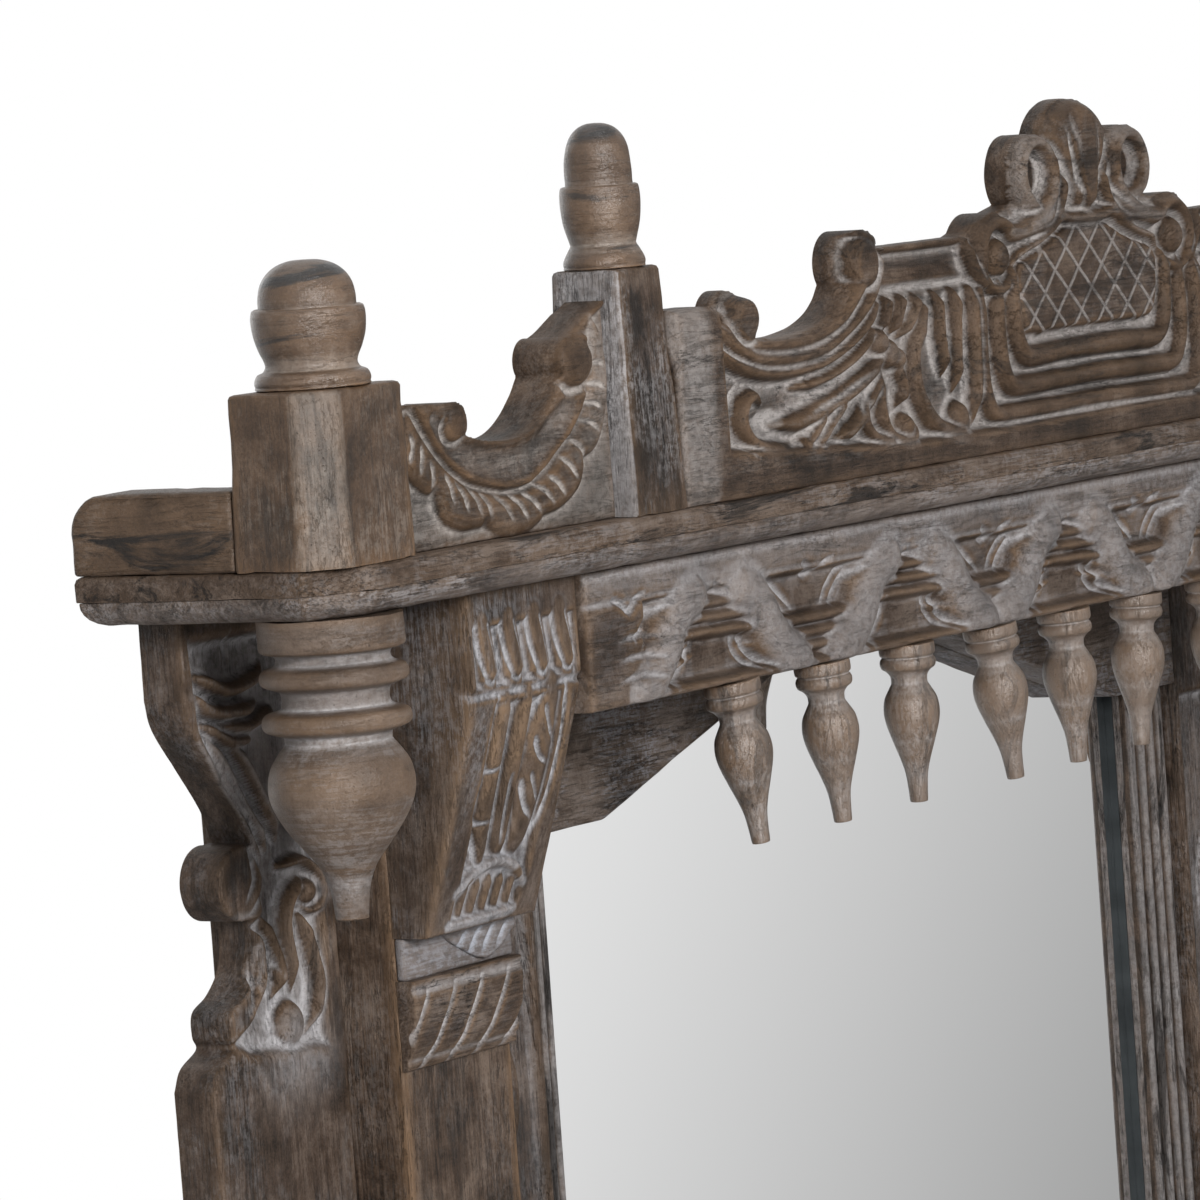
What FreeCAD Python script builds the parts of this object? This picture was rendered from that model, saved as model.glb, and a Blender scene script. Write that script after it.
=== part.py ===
import FreeCAD, Part
import math
import os
from types import SimpleNamespace

import Sketcher

# A carved wooden jharokha (bay window) mirror, standing on its base against a wall.
# X runs along the front, +Y towards the wall, +Z up; the origin is the middle of the footprint.
# Left-hand pieces are modelled and the right-hand ones mirrored from them.

SIZES = [
    # the whole
    ("width", 1326, "ledge, end to end"),
    ("depth", 175, "front of the ledge to the wall"),
    ("ledge_height", 1400, "floor to the underside of the ledge"),
    # ledge
    ("shelf_thick", 11, "shelf board of the ledge"),
    ("bead_thick", 11, "moulded board under the shelf"),
    ("bead_set", 15, "how far the moulding runs in at its foot"),
    ("ear_depth", 135, "ledge ears, front to back"),
    ("corner_x", 32, "cut corner of the ledge, along the front"),
    ("corner_y", 16, "cut corner of the ledge, along the end"),
    ("upstand_tall", 35, "boards on the ears, above the shelf"),
    ("upstand_thick", 26, "boards on the ears"),
    ("upstand_round", 17, "rounded rear corner of those boards"),
    # corner posts, with their finials and pendants
    ("post_wide", 64, "corner post along the front"),
    ("post_deep", 50, "corner post, front to back"),
    ("post_tall", 75, "corner post above the shelf"),
    ("post_cut", 14, "cut outer edge of the corner post"),
    ("finial_ring", 49, "diameter of the corner finial's ring"),
    ("finial_ring_tall", 10, "height of that ring"),
    ("finial_neck", 39, "diameter of the neck under the cup"),
    ("finial_cup", 48.6, "diameter of the cup"),
    ("finial_cup_tall", 24, "height of the cup"),
    ("finial_dome", 41, "diameter of the dome"),
    ("finial_dome_tall", 20, "height of the dome"),
    ("pendant_place", 41, "end of the ledge to the pendant's middle"),
    ("pendant_top", 63, "diameter of the pendant's top drum"),
    ("pendant_drum_tall", 16, "height of that drum"),
    ("pendant_ring", 64, "diameter of the pendant's rings"),
    ("pendant_ring_tall", 10, "height of a ring"),
    ("pendant_neck", 46, "diameter between the rings"),
    ("pendant_neck_tall", 9, "height of a neck"),
    ("pendant_bulb", 63, "diameter of the pendant's bulb"),
    ("pendant_bulb_tall", 46, "height of the bulb"),
    ("pendant_tip", 15, "diameter of the pendant's tip"),
    ("pendant_tip_tall", 30, "height of the tip"),
    # inner posts and the scroll brackets between the posts
    ("inner_post_place", 260, "end of the ledge to the inner post's middle"),
    ("inner_post_wide", 44, "inner post, square"),
    ("inner_post_top", 35, "inner post at its top"),
    ("inner_post_tall", 110, "inner post above the shelf"),
    ("inner_base", 36.5, "diameter of the inner finial's base"),
    ("inner_base_tall", 10, "height of that base"),
    ("inner_cup", 36, "diameter of the inner finial's cup"),
    ("inner_cup_tall", 27, "height of that cup"),
    ("inner_dome", 30, "diameter of the inner finial's dome"),
    ("inner_dome_tall", 28, "height of that dome"),
    ("bracket_set", 9, "scroll bracket behind the ledge front"),
    ("bracket_thick", 21, "scroll bracket board"),
    ("bracket_low", 64, "scroll bracket above the shelf, at its outer end"),
    ("bracket_high", 97, "scroll bracket above the shelf, at its inner end"),
    ("bracket_roll", 10, "radius of the bracket's rolled ends"),
    # crest
    ("crest_thick", 22, "crest board"),
    ("crest_low", 70, "crest above the shelf, at its lowest"),
    ("crest_end", 89, "crest above the shelf, at its plain ends"),
    ("crest_end_wide", 46, "plain ends of the crest"),
    ("crest_shoulder", 105, "crest above the shelf, at its shoulders"),
    ("crest_shoulder_place", 176, "end of the crest to the end of a shoulder"),
    ("crest_roll", 12, "radius of the rolls along the crest"),
    ("crest_dip", 104, "radius of the dip beside a shoulder"),
    ("crest_hump_place", 90, "middle of the mirror to the crest's hump"),
    ("crest_hump", 15, "radius of that hump"),
    ("crest_scroll_place", 41, "middle of the mirror to the crest's great scroll"),
    ("crest_scroll_up", 128, "great scroll's middle above the shelf"),
    ("crest_scroll", 17, "radius of the great scroll"),
    ("crest_top", 166, "top of the crest above the shelf"),
    ("crest_shell", 20, "radius of the shell at the top"),
    # valance and its drops
    ("valance_set", 18, "valance behind the ledge front"),
    ("valance_thick", 20, "valance board"),
    ("valance_tall", 63, "valance board"),
    ("drop_count", 9, "turned drops under the valance"),
    ("drop_pitch", 77, "between two drops"),
    ("drop_collar", 27, "diameter of a drop's collar"),
    ("drop_collar_tall", 13, "height of that collar"),
    ("drop_neck", 17.5, "diameter of a drop's neck"),
    ("drop_neck_tall", 8, "height of that neck"),
    ("drop_bulb", 27, "diameter of a drop's bulb"),
    ("drop_bulb_tall", 28, "height of that bulb"),
    ("drop_tip", 9, "diameter of a drop's tip"),
    ("drop_tip_tall", 28, "height of that tip"),
    # pilasters, corbels and capitals
    ("pilaster_place", 133, "end of the ledge to a pilaster's outer face"),
    ("pilaster_wide", 86, "pilaster along the front"),
    ("pilaster_set", 76, "pilaster behind the ledge front"),
    ("corbel_set", 23, "corbel behind the ledge front, at its top"),
    ("corbel_tall", 152, "corbel below the ledge"),
    ("corbel_block", 44, "upright upper part of the corbel"),
    ("corbel_foot", 27, "depth of the corbel at its foot"),
    ("capital_drop", 171, "ledge to the top of the capital"),
    ("capital_tall", 40, "capital"),
    ("capital_out", 9, "capital in front of the pilaster, at its top"),
    ("neck_out", 5, "neck block in front of the pilaster"),
    # wings
    ("wing_place", 33, "end of the ledge to a wing's outer edge"),
    ("wing_thick", 22, "wing board"),
    ("wing_set", 105, "wing behind the ledge front"),
    ("wing_sweep", 40, "how far the wing's edge sweeps in"),
    ("wing_sweep_top", 35, "ledge to the start of that sweep"),
    ("wing_roll", 16.5, "radius of the wing's rolled scroll"),
    ("wing_roll_drop", 118, "ledge to the middle of that scroll"),
    ("wing_foot_drop", 205, "ledge to where the wing is full width again"),
    # back frame and glass
    ("stile_thick", 34, "stiles of the back frame"),
    ("opening_wide", 575, "between the reeded mouldings"),
    ("reed_wide", 32, "reeded moulding"),
    ("reed_set", 13.5, "reeds behind the face of the stiles"),
    ("reed_count", 4, "reeds on a moulding"),
    ("reed_deep", 2.5, "depth of the hollows between the reeds"),
    ("lip", 13, "reeds to the face of the glass"),
    ("glass_thick", 4, "mirror glass"),
    ("glass_cover", 14, "how far a moulding laps over the glass"),
    ("glass_room", 1, "room round the glass"),
    ("backing_thick", 3, "backing board"),
    ("head_shoulder", 135, "ledge to the shoulders of the peaked head"),
    ("head_peak", 56, "ledge to the peak of the head"),
    ("head_foot", 34, "width of a shoulder"),
    # base
    ("base_tall", 160, "base blocks and bottom rail"),
    ("base_out", 10, "base block in front of the pilaster"),
    ("sill_thick", 22, "sill board"),
    ("sill_out", 22, "sill in front of the plinth"),
    ("plinth_thick", 22, "plinth board"),
    # hanging plates
    ("plate_wide", 30, "hanging plate"),
    ("plate_tall", 90, "hanging plate"),
    ("plate_thick", 3, "hanging plate, let into the stile"),
    ("plate_drop", 140, "ledge to the top of a hanging plate"),
    ("plate_hole", 8, "hanging hole"),
    ("hook_room", 18, "diameter of the hollow behind a hanging hole"),
    ("hook_deep", 12, "depth of that hollow"),
    ("screw", 5, "diameter of a screw"),
    ("screw_long", 22, "length of a screw"),
    ("screw_gap", 60, "between a plate's two screws"),
]

doc = FreeCAD.newDocument("jharokha_mirror")
sheet = doc.addObject("Spreadsheet::Sheet", "dim")
for row, (alias, value, note) in enumerate(SIZES, start=1):
    sheet.set(f"A{row}", alias)
    sheet.set(f"B{row}", str(value))
    sheet.set(f"C{row}", note)
    sheet.setAlias(f"B{row}", alias)
doc.recompute()


class Dim:
    """A length with its value now and the sheet formula that it comes from."""

    def __init__(self, value, text):
        self.value, self.text = float(value), text

    def join(self, other, sign, flip=False):
        other = other if isinstance(other, Dim) else Dim(other, repr(other))
        a, b = (other, self) if flip else (self, other)
        value = {"+": a.value + b.value, "-": a.value - b.value, "*": a.value * b.value,
                 "/": a.value / b.value if b.value else 0.0}[sign]
        return Dim(value, f"({a.text} {sign} {b.text})")

    def __add__(self, other): return self.join(other, "+")
    def __radd__(self, other): return self.join(other, "+", True)
    def __sub__(self, other): return self.join(other, "-")
    def __rsub__(self, other): return self.join(other, "-", True)
    def __mul__(self, other): return self.join(other, "*")
    def __rmul__(self, other): return self.join(other, "*", True)
    def __truediv__(self, other): return self.join(other, "/")
    def __neg__(self): return self.join(0, "-", True)


d = SimpleNamespace(**{alias: Dim(sheet.get(alias), f"dim.{alias}") for alias, _, _ in SIZES})
ZERO = Dim(0, "0")
PIECES = []


def bind(obj, prop, dim):
    """Tie one property of an object to a formula on the sheet."""
    if isinstance(dim, Dim):
        obj.setExpression(prop, dim.text)
    else:
        setattr(obj, prop, dim)


def seat(obj, x, y, z):
    """Tie the three coordinates of an object's place to the sheet."""
    for axis, dim in zip("xyz", (x, y, z)):
        dim = dim if isinstance(dim, Dim) else Dim(dim, repr(dim))
        obj.setExpression(f"Placement.Base.{axis}", dim.text)
    return obj


def box(name, size, place):
    obj = doc.addObject("Part::Box", name)
    for prop, dim in zip(("Length", "Width", "Height"), size):
        bind(obj, prop, dim)
    return seat(obj, *place)


def rod(name, radius, length, place, axis="y"):
    """A round bar from its place along +Y, +X or +Z."""
    obj = doc.addObject("Part::Cylinder", name)
    bind(obj, "Radius", radius)
    bind(obj, "Height", length)
    turn = {"y": FreeCAD.Rotation(FreeCAD.Vector(1, 0, 0), -90),
            "x": FreeCAD.Rotation(FreeCAD.Vector(0, 1, 0), 90), "z": FreeCAD.Rotation()}[axis]
    obj.Placement = FreeCAD.Placement(FreeCAD.Vector(), turn)
    return seat(obj, *place)


def fuse(name, *shapes):
    obj = doc.addObject("Part::MultiFuse", name)
    obj.Shapes = list(shapes)
    obj.Refine = True
    return obj


def cut(name, base, tool):
    obj = doc.addObject("Part::Cut", name)
    obj.Base, obj.Tool = base, tool
    obj.Refine = True
    return obj


def piece(obj, label):
    """Keep an object as one of the mirror's pieces."""
    obj.Label = label
    PIECES.append(obj)
    return obj


def flip(obj, name):
    """The same shape on the other side of the middle."""
    other = doc.addObject("Part::Mirroring", name)
    other.Source, other.Normal, other.Base = obj, FreeCAD.Vector(1, 0, 0), FreeCAD.Vector(0, 0, 0)
    return other


def pair(obj, label):
    """Keep a left-hand piece and its mirror image."""
    piece(obj, f"{label}_left")
    piece(flip(obj, f"{label}_flip"), f"{label}_right")


def draw(body, plane, corners):
    """A closed outline on one of the body's planes; a corner is (across, up, arc to the next corner)."""
    sketch = body.newObject("Sketcher::SketchObject", f"{body.Name}_outline")
    origin = next(f for f in body.Origin.OriginFeatures if f.Role == plane)
    sketch.AttachmentSupport = [(origin, "")]
    sketch.MapMode = "FlatFace"
    corners = [tuple(c) + (0,) if len(c) == 2 else c for c in corners]
    points = [FreeCAD.Vector(getattr(a, "value", a), getattr(b, "value", b), 0) for a, b, _ in corners]
    edges = []
    for i, (_, _, sweep) in enumerate(corners):
        start, end = points[i], points[(i + 1) % len(points)]
        if not sweep:
            edges.append((sketch.addGeometry(Part.LineSegment(start, end)), False))
            continue
        chord = end - start
        side = FreeCAD.Vector(chord.y, -chord.x, 0)
        bulge = math.tan(math.radians(abs(sweep) / 4)) / 2
        middle = (start + end) / 2 + side * (bulge if sweep > 0 else -bulge)
        arc = sketch.addGeometry(Part.Arc(start, middle, end))
        sketch.addConstraint(Sketcher.Constraint("Angle", arc, FreeCAD.Units.Quantity(f"{abs(sweep)} deg")))
        edges.append((arc, sweep < 0))
    for i, (edge, turned) in enumerate(edges):
        after, after_turned = edges[(i + 1) % len(edges)]
        sketch.addConstraint(Sketcher.Constraint(
            "Coincident", edge, 1 if turned else 2, after, 2 if after_turned else 1))
    for i, (edge, turned) in enumerate(edges):
        for kind, dim in zip(("DistanceX", "DistanceY"), corners[i][:2]):
            dim = dim if isinstance(dim, Dim) else Dim(dim, repr(dim))
            spot = sketch.addConstraint(Sketcher.Constraint(kind, -1, 1, edge, 2 if turned else 1, dim.value))
            sketch.setExpression(f"Constraints[{spot}]", dim.text)
    return sketch


def pad(name, plane, corners, length, place, reverse=False):
    """A board: an outline with one thickness."""
    body = doc.addObject("PartDesign::Body", name)
    feature = body.newObject("PartDesign::Pad", f"{name}_board")
    feature.Profile = draw(body, plane, corners)
    bind(feature, "Length", length)
    feature.Reversed = reverse
    body.Tip = feature
    return seat(body, *place)


def turned(name, profile, place):
    """A piece off the lathe: half its outline, turned about the upright axis."""
    body = doc.addObject("PartDesign::Body", name)
    sketch = draw(body, "XZ_Plane", profile)
    feature = body.newObject("PartDesign::Revolution", f"{name}_turning")
    feature.Profile = sketch
    feature.ReferenceAxis = (sketch, ["V_Axis"])
    feature.Angle = 360
    body.Tip = feature
    return seat(body, *place)


# Levels and planes that many pieces share.
front = -d.depth / 2
wall = d.depth / 2
end = -d.width / 2
shelf_top = d.ledge_height + d.bead_thick + d.shelf_thick
stile_face = wall - d.stile_thick
stile_in = d.opening_wide / 2 + d.reed_wide
glass_face = stile_face + d.reed_set + d.lip
pilaster_face = front + d.pilaster_set
pilaster_out = d.width / 2 - d.pilaster_place
pilaster_in = pilaster_out - d.pilaster_wide
wing_out = d.width / 2 - d.wing_place
inner_middle = d.width / 2 - d.inner_post_place
head_level = d.ledge_height - d.head_shoulder
sill_top = d.base_tall + d.sill_thick

# Hanging plates: steel, let into the back of the stiles and held by two screws each.
plate_x = -(pilaster_out + stile_in) / 2
plate_top = d.ledge_height - d.plate_drop
hook_z = plate_top - d.plate_tall / 2
plate_place = (plate_x - d.plate_wide / 2, wall - d.plate_thick, plate_top - d.plate_tall)
plate_size = (d.plate_wide, d.plate_thick, d.plate_tall)
screw_levels = [hook_z - d.screw_gap / 2, hook_z + d.screw_gap / 2]
screw_bars = []
for i, level in enumerate(screw_levels, start=1):
    bar = rod(f"screw_{i}", d.screw / 2, d.screw_long, (plate_x, wall - d.screw_long, level))
    pair(bar, f"plate_screw_{i}")
    screw_bars.append(rod(f"screw_way_{i}", d.screw / 2, d.screw_long, (plate_x, wall - d.screw_long, level)))
hook_hole = rod("hook_hole", d.plate_hole / 2, d.plate_thick, (plate_x, wall - d.plate_thick, hook_z))
pair(cut("plate", box("plate_blank", plate_size, plate_place), fuse("plate_holes", hook_hole, *screw_bars)),
     "hanging_plate")

# Back frame: two stiles and a bottom rail against the wall.
stile_blank = box("stile_blank", (pilaster_out - stile_in, d.stile_thick, d.ledge_height),
                  (-pilaster_out, stile_face, 0))
stile_room = fuse("stile_room", box("plate_room", plate_size, plate_place),
                  rod("hook_hollow", d.hook_room / 2, d.hook_deep + d.plate_thick,
                      (plate_x, wall - d.plate_thick - d.hook_deep, hook_z)),
                  *[rod(f"screw_room_{i}", d.screw / 2, d.screw_long, (plate_x, wall - d.screw_long, level))
                    for i, level in enumerate(screw_levels, start=1)])
pair(cut("stile", stile_blank, stile_room), "stile")
piece(box("bottom_rail", (2 * stile_in, d.stile_thick, d.base_tall), (-stile_in, stile_face, 0)),
      "bottom_rail")

# Head boards: two raking boards that meet at the peak of the opening.
peak_foot = d.opening_wide / 2 - d.head_foot
pair(pad("head", "XZ_Plane",
         [(-stile_in, ZERO), (-stile_in, -d.head_shoulder), (-peak_foot, -d.head_shoulder),
          (ZERO, -d.head_peak), (ZERO, ZERO)],
         d.reed_set + d.lip, (0, stile_face, d.ledge_height), reverse=True), "head_board")

# Reeded mouldings down both sides of the opening, rebated behind for the glass.
reed = d.reed_wide / d.reed_count
reed_back = d.stile_thick - d.reed_set
rebate = -d.opening_wide / 2 - d.glass_cover - d.glass_room
reeds = [(-stile_in + reed * i, d.reed_deep, 120) for i in range(int(d.reed_count.value))]
pair(pad("reeds", "XY_Plane",
         reeds + [(-d.opening_wide / 2, d.reed_deep), (-d.opening_wide / 2, d.lip), (rebate, d.lip),
                  (rebate, reed_back), (-stile_in, reed_back)],
         head_level - sill_top, (0, stile_face + d.reed_set, sill_top)), "reeded_moulding")

# Mirror glass and its backing board, standing on the sill behind the mouldings and the head.
glass_half = d.opening_wide / 2 + d.glass_cover
glass_tall = d.ledge_height - sill_top
piece(box("glass", (2 * glass_half, d.glass_thick, glass_tall), (-glass_half, glass_face, sill_top)),
      "mirror_glass")
piece(box("backing", (2 * glass_half, d.backing_thick, glass_tall),
          (-glass_half, glass_face + d.glass_thick, sill_top)), "backing_board")

# Base: blocks under the pilasters, a plinth between them and a sill that runs back to the wall.
block_face = pilaster_face - d.base_out
plinth_face = pilaster_face + d.base_out
sill_face = plinth_face - d.sill_out
pair(box("base_block", (d.pilaster_wide, stile_face - block_face, d.base_tall),
         (-pilaster_out, block_face, 0)), "base_block")
piece(box("plinth", (2 * pilaster_in, d.plinth_thick, d.base_tall), (-pilaster_in, plinth_face, 0)), "plinth")
piece(fuse("sill", box("sill_front", (2 * pilaster_in, stile_face - sill_face, d.sill_thick),
                       (-pilaster_in, sill_face, d.base_tall)),
           box("sill_rear", (2 * stile_in, d.stile_thick, d.sill_thick),
               (-stile_in, stile_face, d.base_tall))), "sill")

# Pilasters on the stiles, from the base blocks up to the ledge.
pair(box("pilaster", (d.pilaster_wide, stile_face - pilaster_face, d.ledge_height - d.base_tall),
         (-pilaster_out, pilaster_face, d.base_tall)), "pilaster")

# Corbels: brackets on the pilasters that carry the ledge, upright above and raked below.
pair(pad("corbel", "YZ_Plane",
         [(front + d.corbel_set, ZERO), (front + d.corbel_set, -d.corbel_block),
          (pilaster_face - d.corbel_foot, -d.corbel_tall), (pilaster_face, -d.corbel_tall),
          (pilaster_face, ZERO)],
         d.pilaster_wide, (-pilaster_out, 0, d.ledge_height)), "corbel")

# Neck blocks and swelling capitals on the pilasters, under the corbels.
pair(box("neck_block", (d.pilaster_wide, d.neck_out, d.capital_drop - d.corbel_tall),
         (-pilaster_out, pilaster_face - d.neck_out, d.ledge_height - d.capital_drop)), "neck_block")
pair(pad("capital", "YZ_Plane",
         [(-d.capital_out, ZERO, 40), (-d.capital_out / 3, -d.capital_tall), (ZERO, -d.capital_tall),
          (ZERO, ZERO)],
         d.pilaster_wide, (-pilaster_out, pilaster_face, d.ledge_height - d.capital_drop)), "capital")

# Wings: boards outside the pilasters, with a swept edge and a rolled scroll below the ledge.
roll_x = -wing_out + d.wing_sweep - d.wing_roll / 2
waist_x = -wing_out + d.wing_sweep
sweep_foot = d.wing_roll_drop - d.wing_roll
foot_tall = d.wing_foot_drop - d.wing_roll_drop - d.wing_roll
pair(pad("wing", "XZ_Plane",
         [(-pilaster_out, ZERO), (-wing_out, ZERO), (-wing_out, -d.wing_sweep_top, 45),
          (-wing_out + d.wing_sweep / 2, -(d.wing_sweep_top + sweep_foot) / 2, -40),
          (waist_x, -sweep_foot), (roll_x, -sweep_foot, 180),
          (roll_x, -d.wing_roll_drop - d.wing_roll), (waist_x, -d.wing_roll_drop - d.wing_roll),
          (waist_x, -d.wing_foot_drop + foot_tall * 0.66, 40),
          (waist_x - d.wing_sweep * 0.57, -d.wing_foot_drop + foot_tall * 0.38),
          (waist_x - d.wing_sweep * 0.57, -d.wing_foot_drop + foot_tall * 0.22),
          (-wing_out, -d.wing_foot_drop), (-wing_out, -d.ledge_height),
          (-pilaster_out, -d.ledge_height)],
         d.wing_thick, (0, front + d.wing_set, d.ledge_height), reverse=True), "wing")

# Ledge: a moulded board with a shelf board on it, cut corners in front and ears at the ends.
def ledge_outline(inset):
    left, near, ear = end + inset, front + inset, front + d.ear_depth
    return [(left + d.corner_x, near), (-left - d.corner_x, near), (-left, near + d.corner_y), (-left, ear),
            (pilaster_out, ear), (pilaster_out, wall), (-pilaster_out, wall),
            (-pilaster_out, ear), (left, ear), (left, near + d.corner_y)]


bead = doc.addObject("PartDesign::Body", "bead")
bead_foot = draw(bead, "XY_Plane", ledge_outline(d.bead_set))
bead_head = draw(bead, "XY_Plane", ledge_outline(ZERO))
bead_head.setExpression("AttachmentOffset.Base.z", d.bead_thick.text)
bead_loft = bead.newObject("PartDesign::AdditiveLoft", "bead_loft")
bead_loft.Profile, bead_loft.Sections, bead_loft.Ruled = bead_foot, [bead_head], True
bead.Tip = bead_loft
piece(seat(bead, 0, 0, d.ledge_height), "ledge_bead")
piece(pad("shelf", "XY_Plane", ledge_outline(ZERO), d.shelf_thick, (0, 0, d.ledge_height + d.bead_thick)),
      "ledge_shelf")

# Upstands: low boards on the ears, behind the corner posts, rounded at the rear.
upstand_deep = d.ear_depth - d.post_deep
pair(pad("upstand", "YZ_Plane",
         [(ZERO, ZERO), (upstand_deep, ZERO), (upstand_deep, d.upstand_tall - d.upstand_round, 90),
          (upstand_deep - d.upstand_round, d.upstand_tall), (ZERO, d.upstand_tall)],
         d.upstand_thick, (end, front + d.post_deep, shelf_top)), "upstand")

# Corner posts with a cut outer edge.
pair(pad("corner_post", "XY_Plane",
         [(d.post_cut, ZERO), (d.post_wide, ZERO), (d.post_wide, d.post_deep), (ZERO, d.post_deep),
          (ZERO, d.post_cut)],
         d.post_tall, (end, front, shelf_top)), "corner_post")


def finial(name, ring, ring_tall, neck, cup, cup_tall, dome, dome_tall, place):
    """A turned finial: a ring, a cup that swells upwards and a dome."""
    cup_foot, cup_head = ring_tall, ring_tall + cup_tall
    return turned(name, [
        (ZERO, ZERO), (ring / 2 - ring_tall * 0.289, ZERO, 120), (ring / 2 - ring_tall * 0.289, ring_tall),
        (neck / 2, cup_foot, 35), (cup / 2, cup_head), (dome / 2, cup_head),
        (dome / 2, cup_head + dome_tall * 0.3, 70), (dome * 0.06, cup_head + dome_tall),
        (ZERO, cup_head + dome_tall)], place)


post_axis = (end + d.post_wide / 2, front + d.post_deep / 2)
pair(finial("corner_finial", d.finial_ring, d.finial_ring_tall, d.finial_neck,
            d.finial_cup, d.finial_cup_tall, d.finial_dome, d.finial_dome_tall,
            (*post_axis, shelf_top + d.post_tall)), "corner_finial")

# Corner pendants: turned, under the ledge below the corner posts, from the tip up.
bulb_foot = d.pendant_tip_tall
bulb_head = bulb_foot + d.pendant_bulb_tall
low_ring = bulb_head + d.pendant_neck_tall / 2
low_ring_head = low_ring + d.pendant_ring_tall
high_ring = low_ring_head + d.pendant_neck_tall
high_ring_head = high_ring + d.pendant_ring_tall
drum_foot = high_ring_head + d.pendant_neck_tall / 2
pendant_tall = drum_foot + d.pendant_drum_tall
ring_root = d.pendant_ring / 2 - d.pendant_ring_tall * 0.289
pendant_axis = (end + d.pendant_place, front + d.pendant_ring / 2)
pair(turned("corner_pendant", [
    (ZERO, ZERO), (d.pendant_tip / 2, ZERO), (d.pendant_tip * 0.58, bulb_foot * 0.4, -35),
    (d.pendant_bulb * 0.34, bulb_foot * 1.15, 20),
    (d.pendant_bulb / 2, bulb_foot + d.pendant_bulb_tall * 0.6, 60),
    (d.pendant_neck / 2, bulb_head), (d.pendant_neck / 2, low_ring),
    (ring_root, low_ring, 120), (ring_root, low_ring_head), (d.pendant_neck / 2, low_ring_head),
    (d.pendant_neck / 2, high_ring), (ring_root, high_ring, 120), (ring_root, high_ring_head),
    (d.pendant_neck / 2, high_ring_head), (d.pendant_neck / 2, drum_foot),
    (d.pendant_top / 2, drum_foot), (d.pendant_top / 2, pendant_tall), (ZERO, pendant_tall)],
    (*pendant_axis, d.ledge_height - pendant_tall)), "corner_pendant")

# Inner posts, tapering upwards, with smaller finials.
inner_post = doc.addObject("Part::Wedge", "inner_post")
taper = (d.inner_post_wide - d.inner_post_top) / 2
for prop, dim in (("Xmin", ZERO), ("Xmax", d.inner_post_wide), ("Zmin", ZERO), ("Zmax", d.inner_post_wide),
                  ("Ymin", ZERO), ("Ymax", d.inner_post_tall), ("X2min", taper), ("Z2min", taper),
                  ("X2max", d.inner_post_wide - taper), ("Z2max", d.inner_post_wide - taper)):
    bind(inner_post, prop, dim)
inner_post.Placement = FreeCAD.Placement(FreeCAD.Vector(), FreeCAD.Rotation(FreeCAD.Vector(1, 0, 0), 90))
pair(seat(inner_post, -inner_middle - d.inner_post_wide / 2, front + d.inner_post_wide, shelf_top),
     "inner_post")
inner_axis = (-inner_middle, front + d.inner_post_wide / 2)
pair(finial("inner_finial", d.inner_base, d.inner_base_tall, d.inner_dome, d.inner_cup, d.inner_cup_tall,
            d.inner_dome, d.inner_dome_tall, (*inner_axis, shelf_top + d.inner_post_tall)), "inner_finial")

# Scroll brackets between the posts: a hollow sweep between two rolled ends.
near_x = end + d.post_wide
far_x = -inner_middle - d.inner_post_wide / 2
low_roll = (near_x + d.bracket_roll * 4, d.bracket_low - d.bracket_roll)
high_roll = (far_x - d.bracket_roll * 4, d.bracket_high - d.bracket_roll * 2.6)
pair(pad("scroll_bracket", "XZ_Plane", [
    (near_x, ZERO), (far_x, ZERO), (far_x, d.bracket_high),
    (far_x - d.bracket_roll, d.bracket_high - d.bracket_roll / 2),
    (high_roll[0] + d.bracket_roll, high_roll[1] + d.bracket_roll),
    (high_roll[0], high_roll[1] + d.bracket_roll, 180), (high_roll[0], high_roll[1] - d.bracket_roll, -60),
    (low_roll[0], low_roll[1] - d.bracket_roll, 180), (low_roll[0], low_roll[1] + d.bracket_roll),
    (near_x, d.bracket_low)],
    d.bracket_thick, (0, front + d.bracket_set, shelf_top), reverse=True), "scroll_bracket")

# Crest: a board on the shelf between the inner posts, with rolls, humps and a shell on its top edge.
crest_half = inner_middle - d.inner_post_wide / 2
end_roll = (-crest_half + d.crest_end_wide + d.crest_roll * 1.5, d.crest_end - d.crest_roll)
side_roll = (-crest_half + d.crest_shoulder_place - d.crest_roll / 2, d.crest_shoulder - d.crest_roll / 3)


def crest_bar(name, radius, x, up):
    return rod(name, radius, d.crest_thick, (x, front, shelf_top + up))


def crest_block(name, x, wide, tall):
    return box(name, (wide, d.crest_thick, tall), (x, front, shelf_top))


flank = cut("crest_flank",
            crest_block("crest_flank_blank", end_roll[0], side_roll[0] - end_roll[0], side_roll[1]),
            crest_bar("crest_hollow", d.crest_dip, end_roll[0] + d.crest_roll * 2, d.crest_low + d.crest_dip))
crest_left = fuse(
    "crest_left", crest_block("crest_end_block", -crest_half, d.crest_end_wide, d.crest_end), flank,
    crest_bar("crest_end_roll", d.crest_roll, *end_roll),
    crest_bar("crest_side_roll", d.crest_roll, *side_roll),
    crest_bar("crest_hump_bar", d.crest_hump, -d.crest_hump_place, d.crest_shoulder - d.crest_hump / 3),
    crest_bar("crest_scroll_bar", d.crest_scroll, -d.crest_scroll_place, d.crest_scroll_up))
piece(fuse("crest_board", crest_left, flip(crest_left, "crest_right"),
           crest_block("crest_base", -crest_half, 2 * crest_half, d.crest_low),
           crest_block("crest_shoulders", side_roll[0], -2 * side_roll[0], d.crest_shoulder),
           crest_block("crest_middle", -d.crest_scroll_place, 2 * d.crest_scroll_place, d.crest_scroll_up),
           crest_bar("crest_shell_bar", d.crest_shell, ZERO, d.crest_top - d.crest_shell)), "crest")

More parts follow.
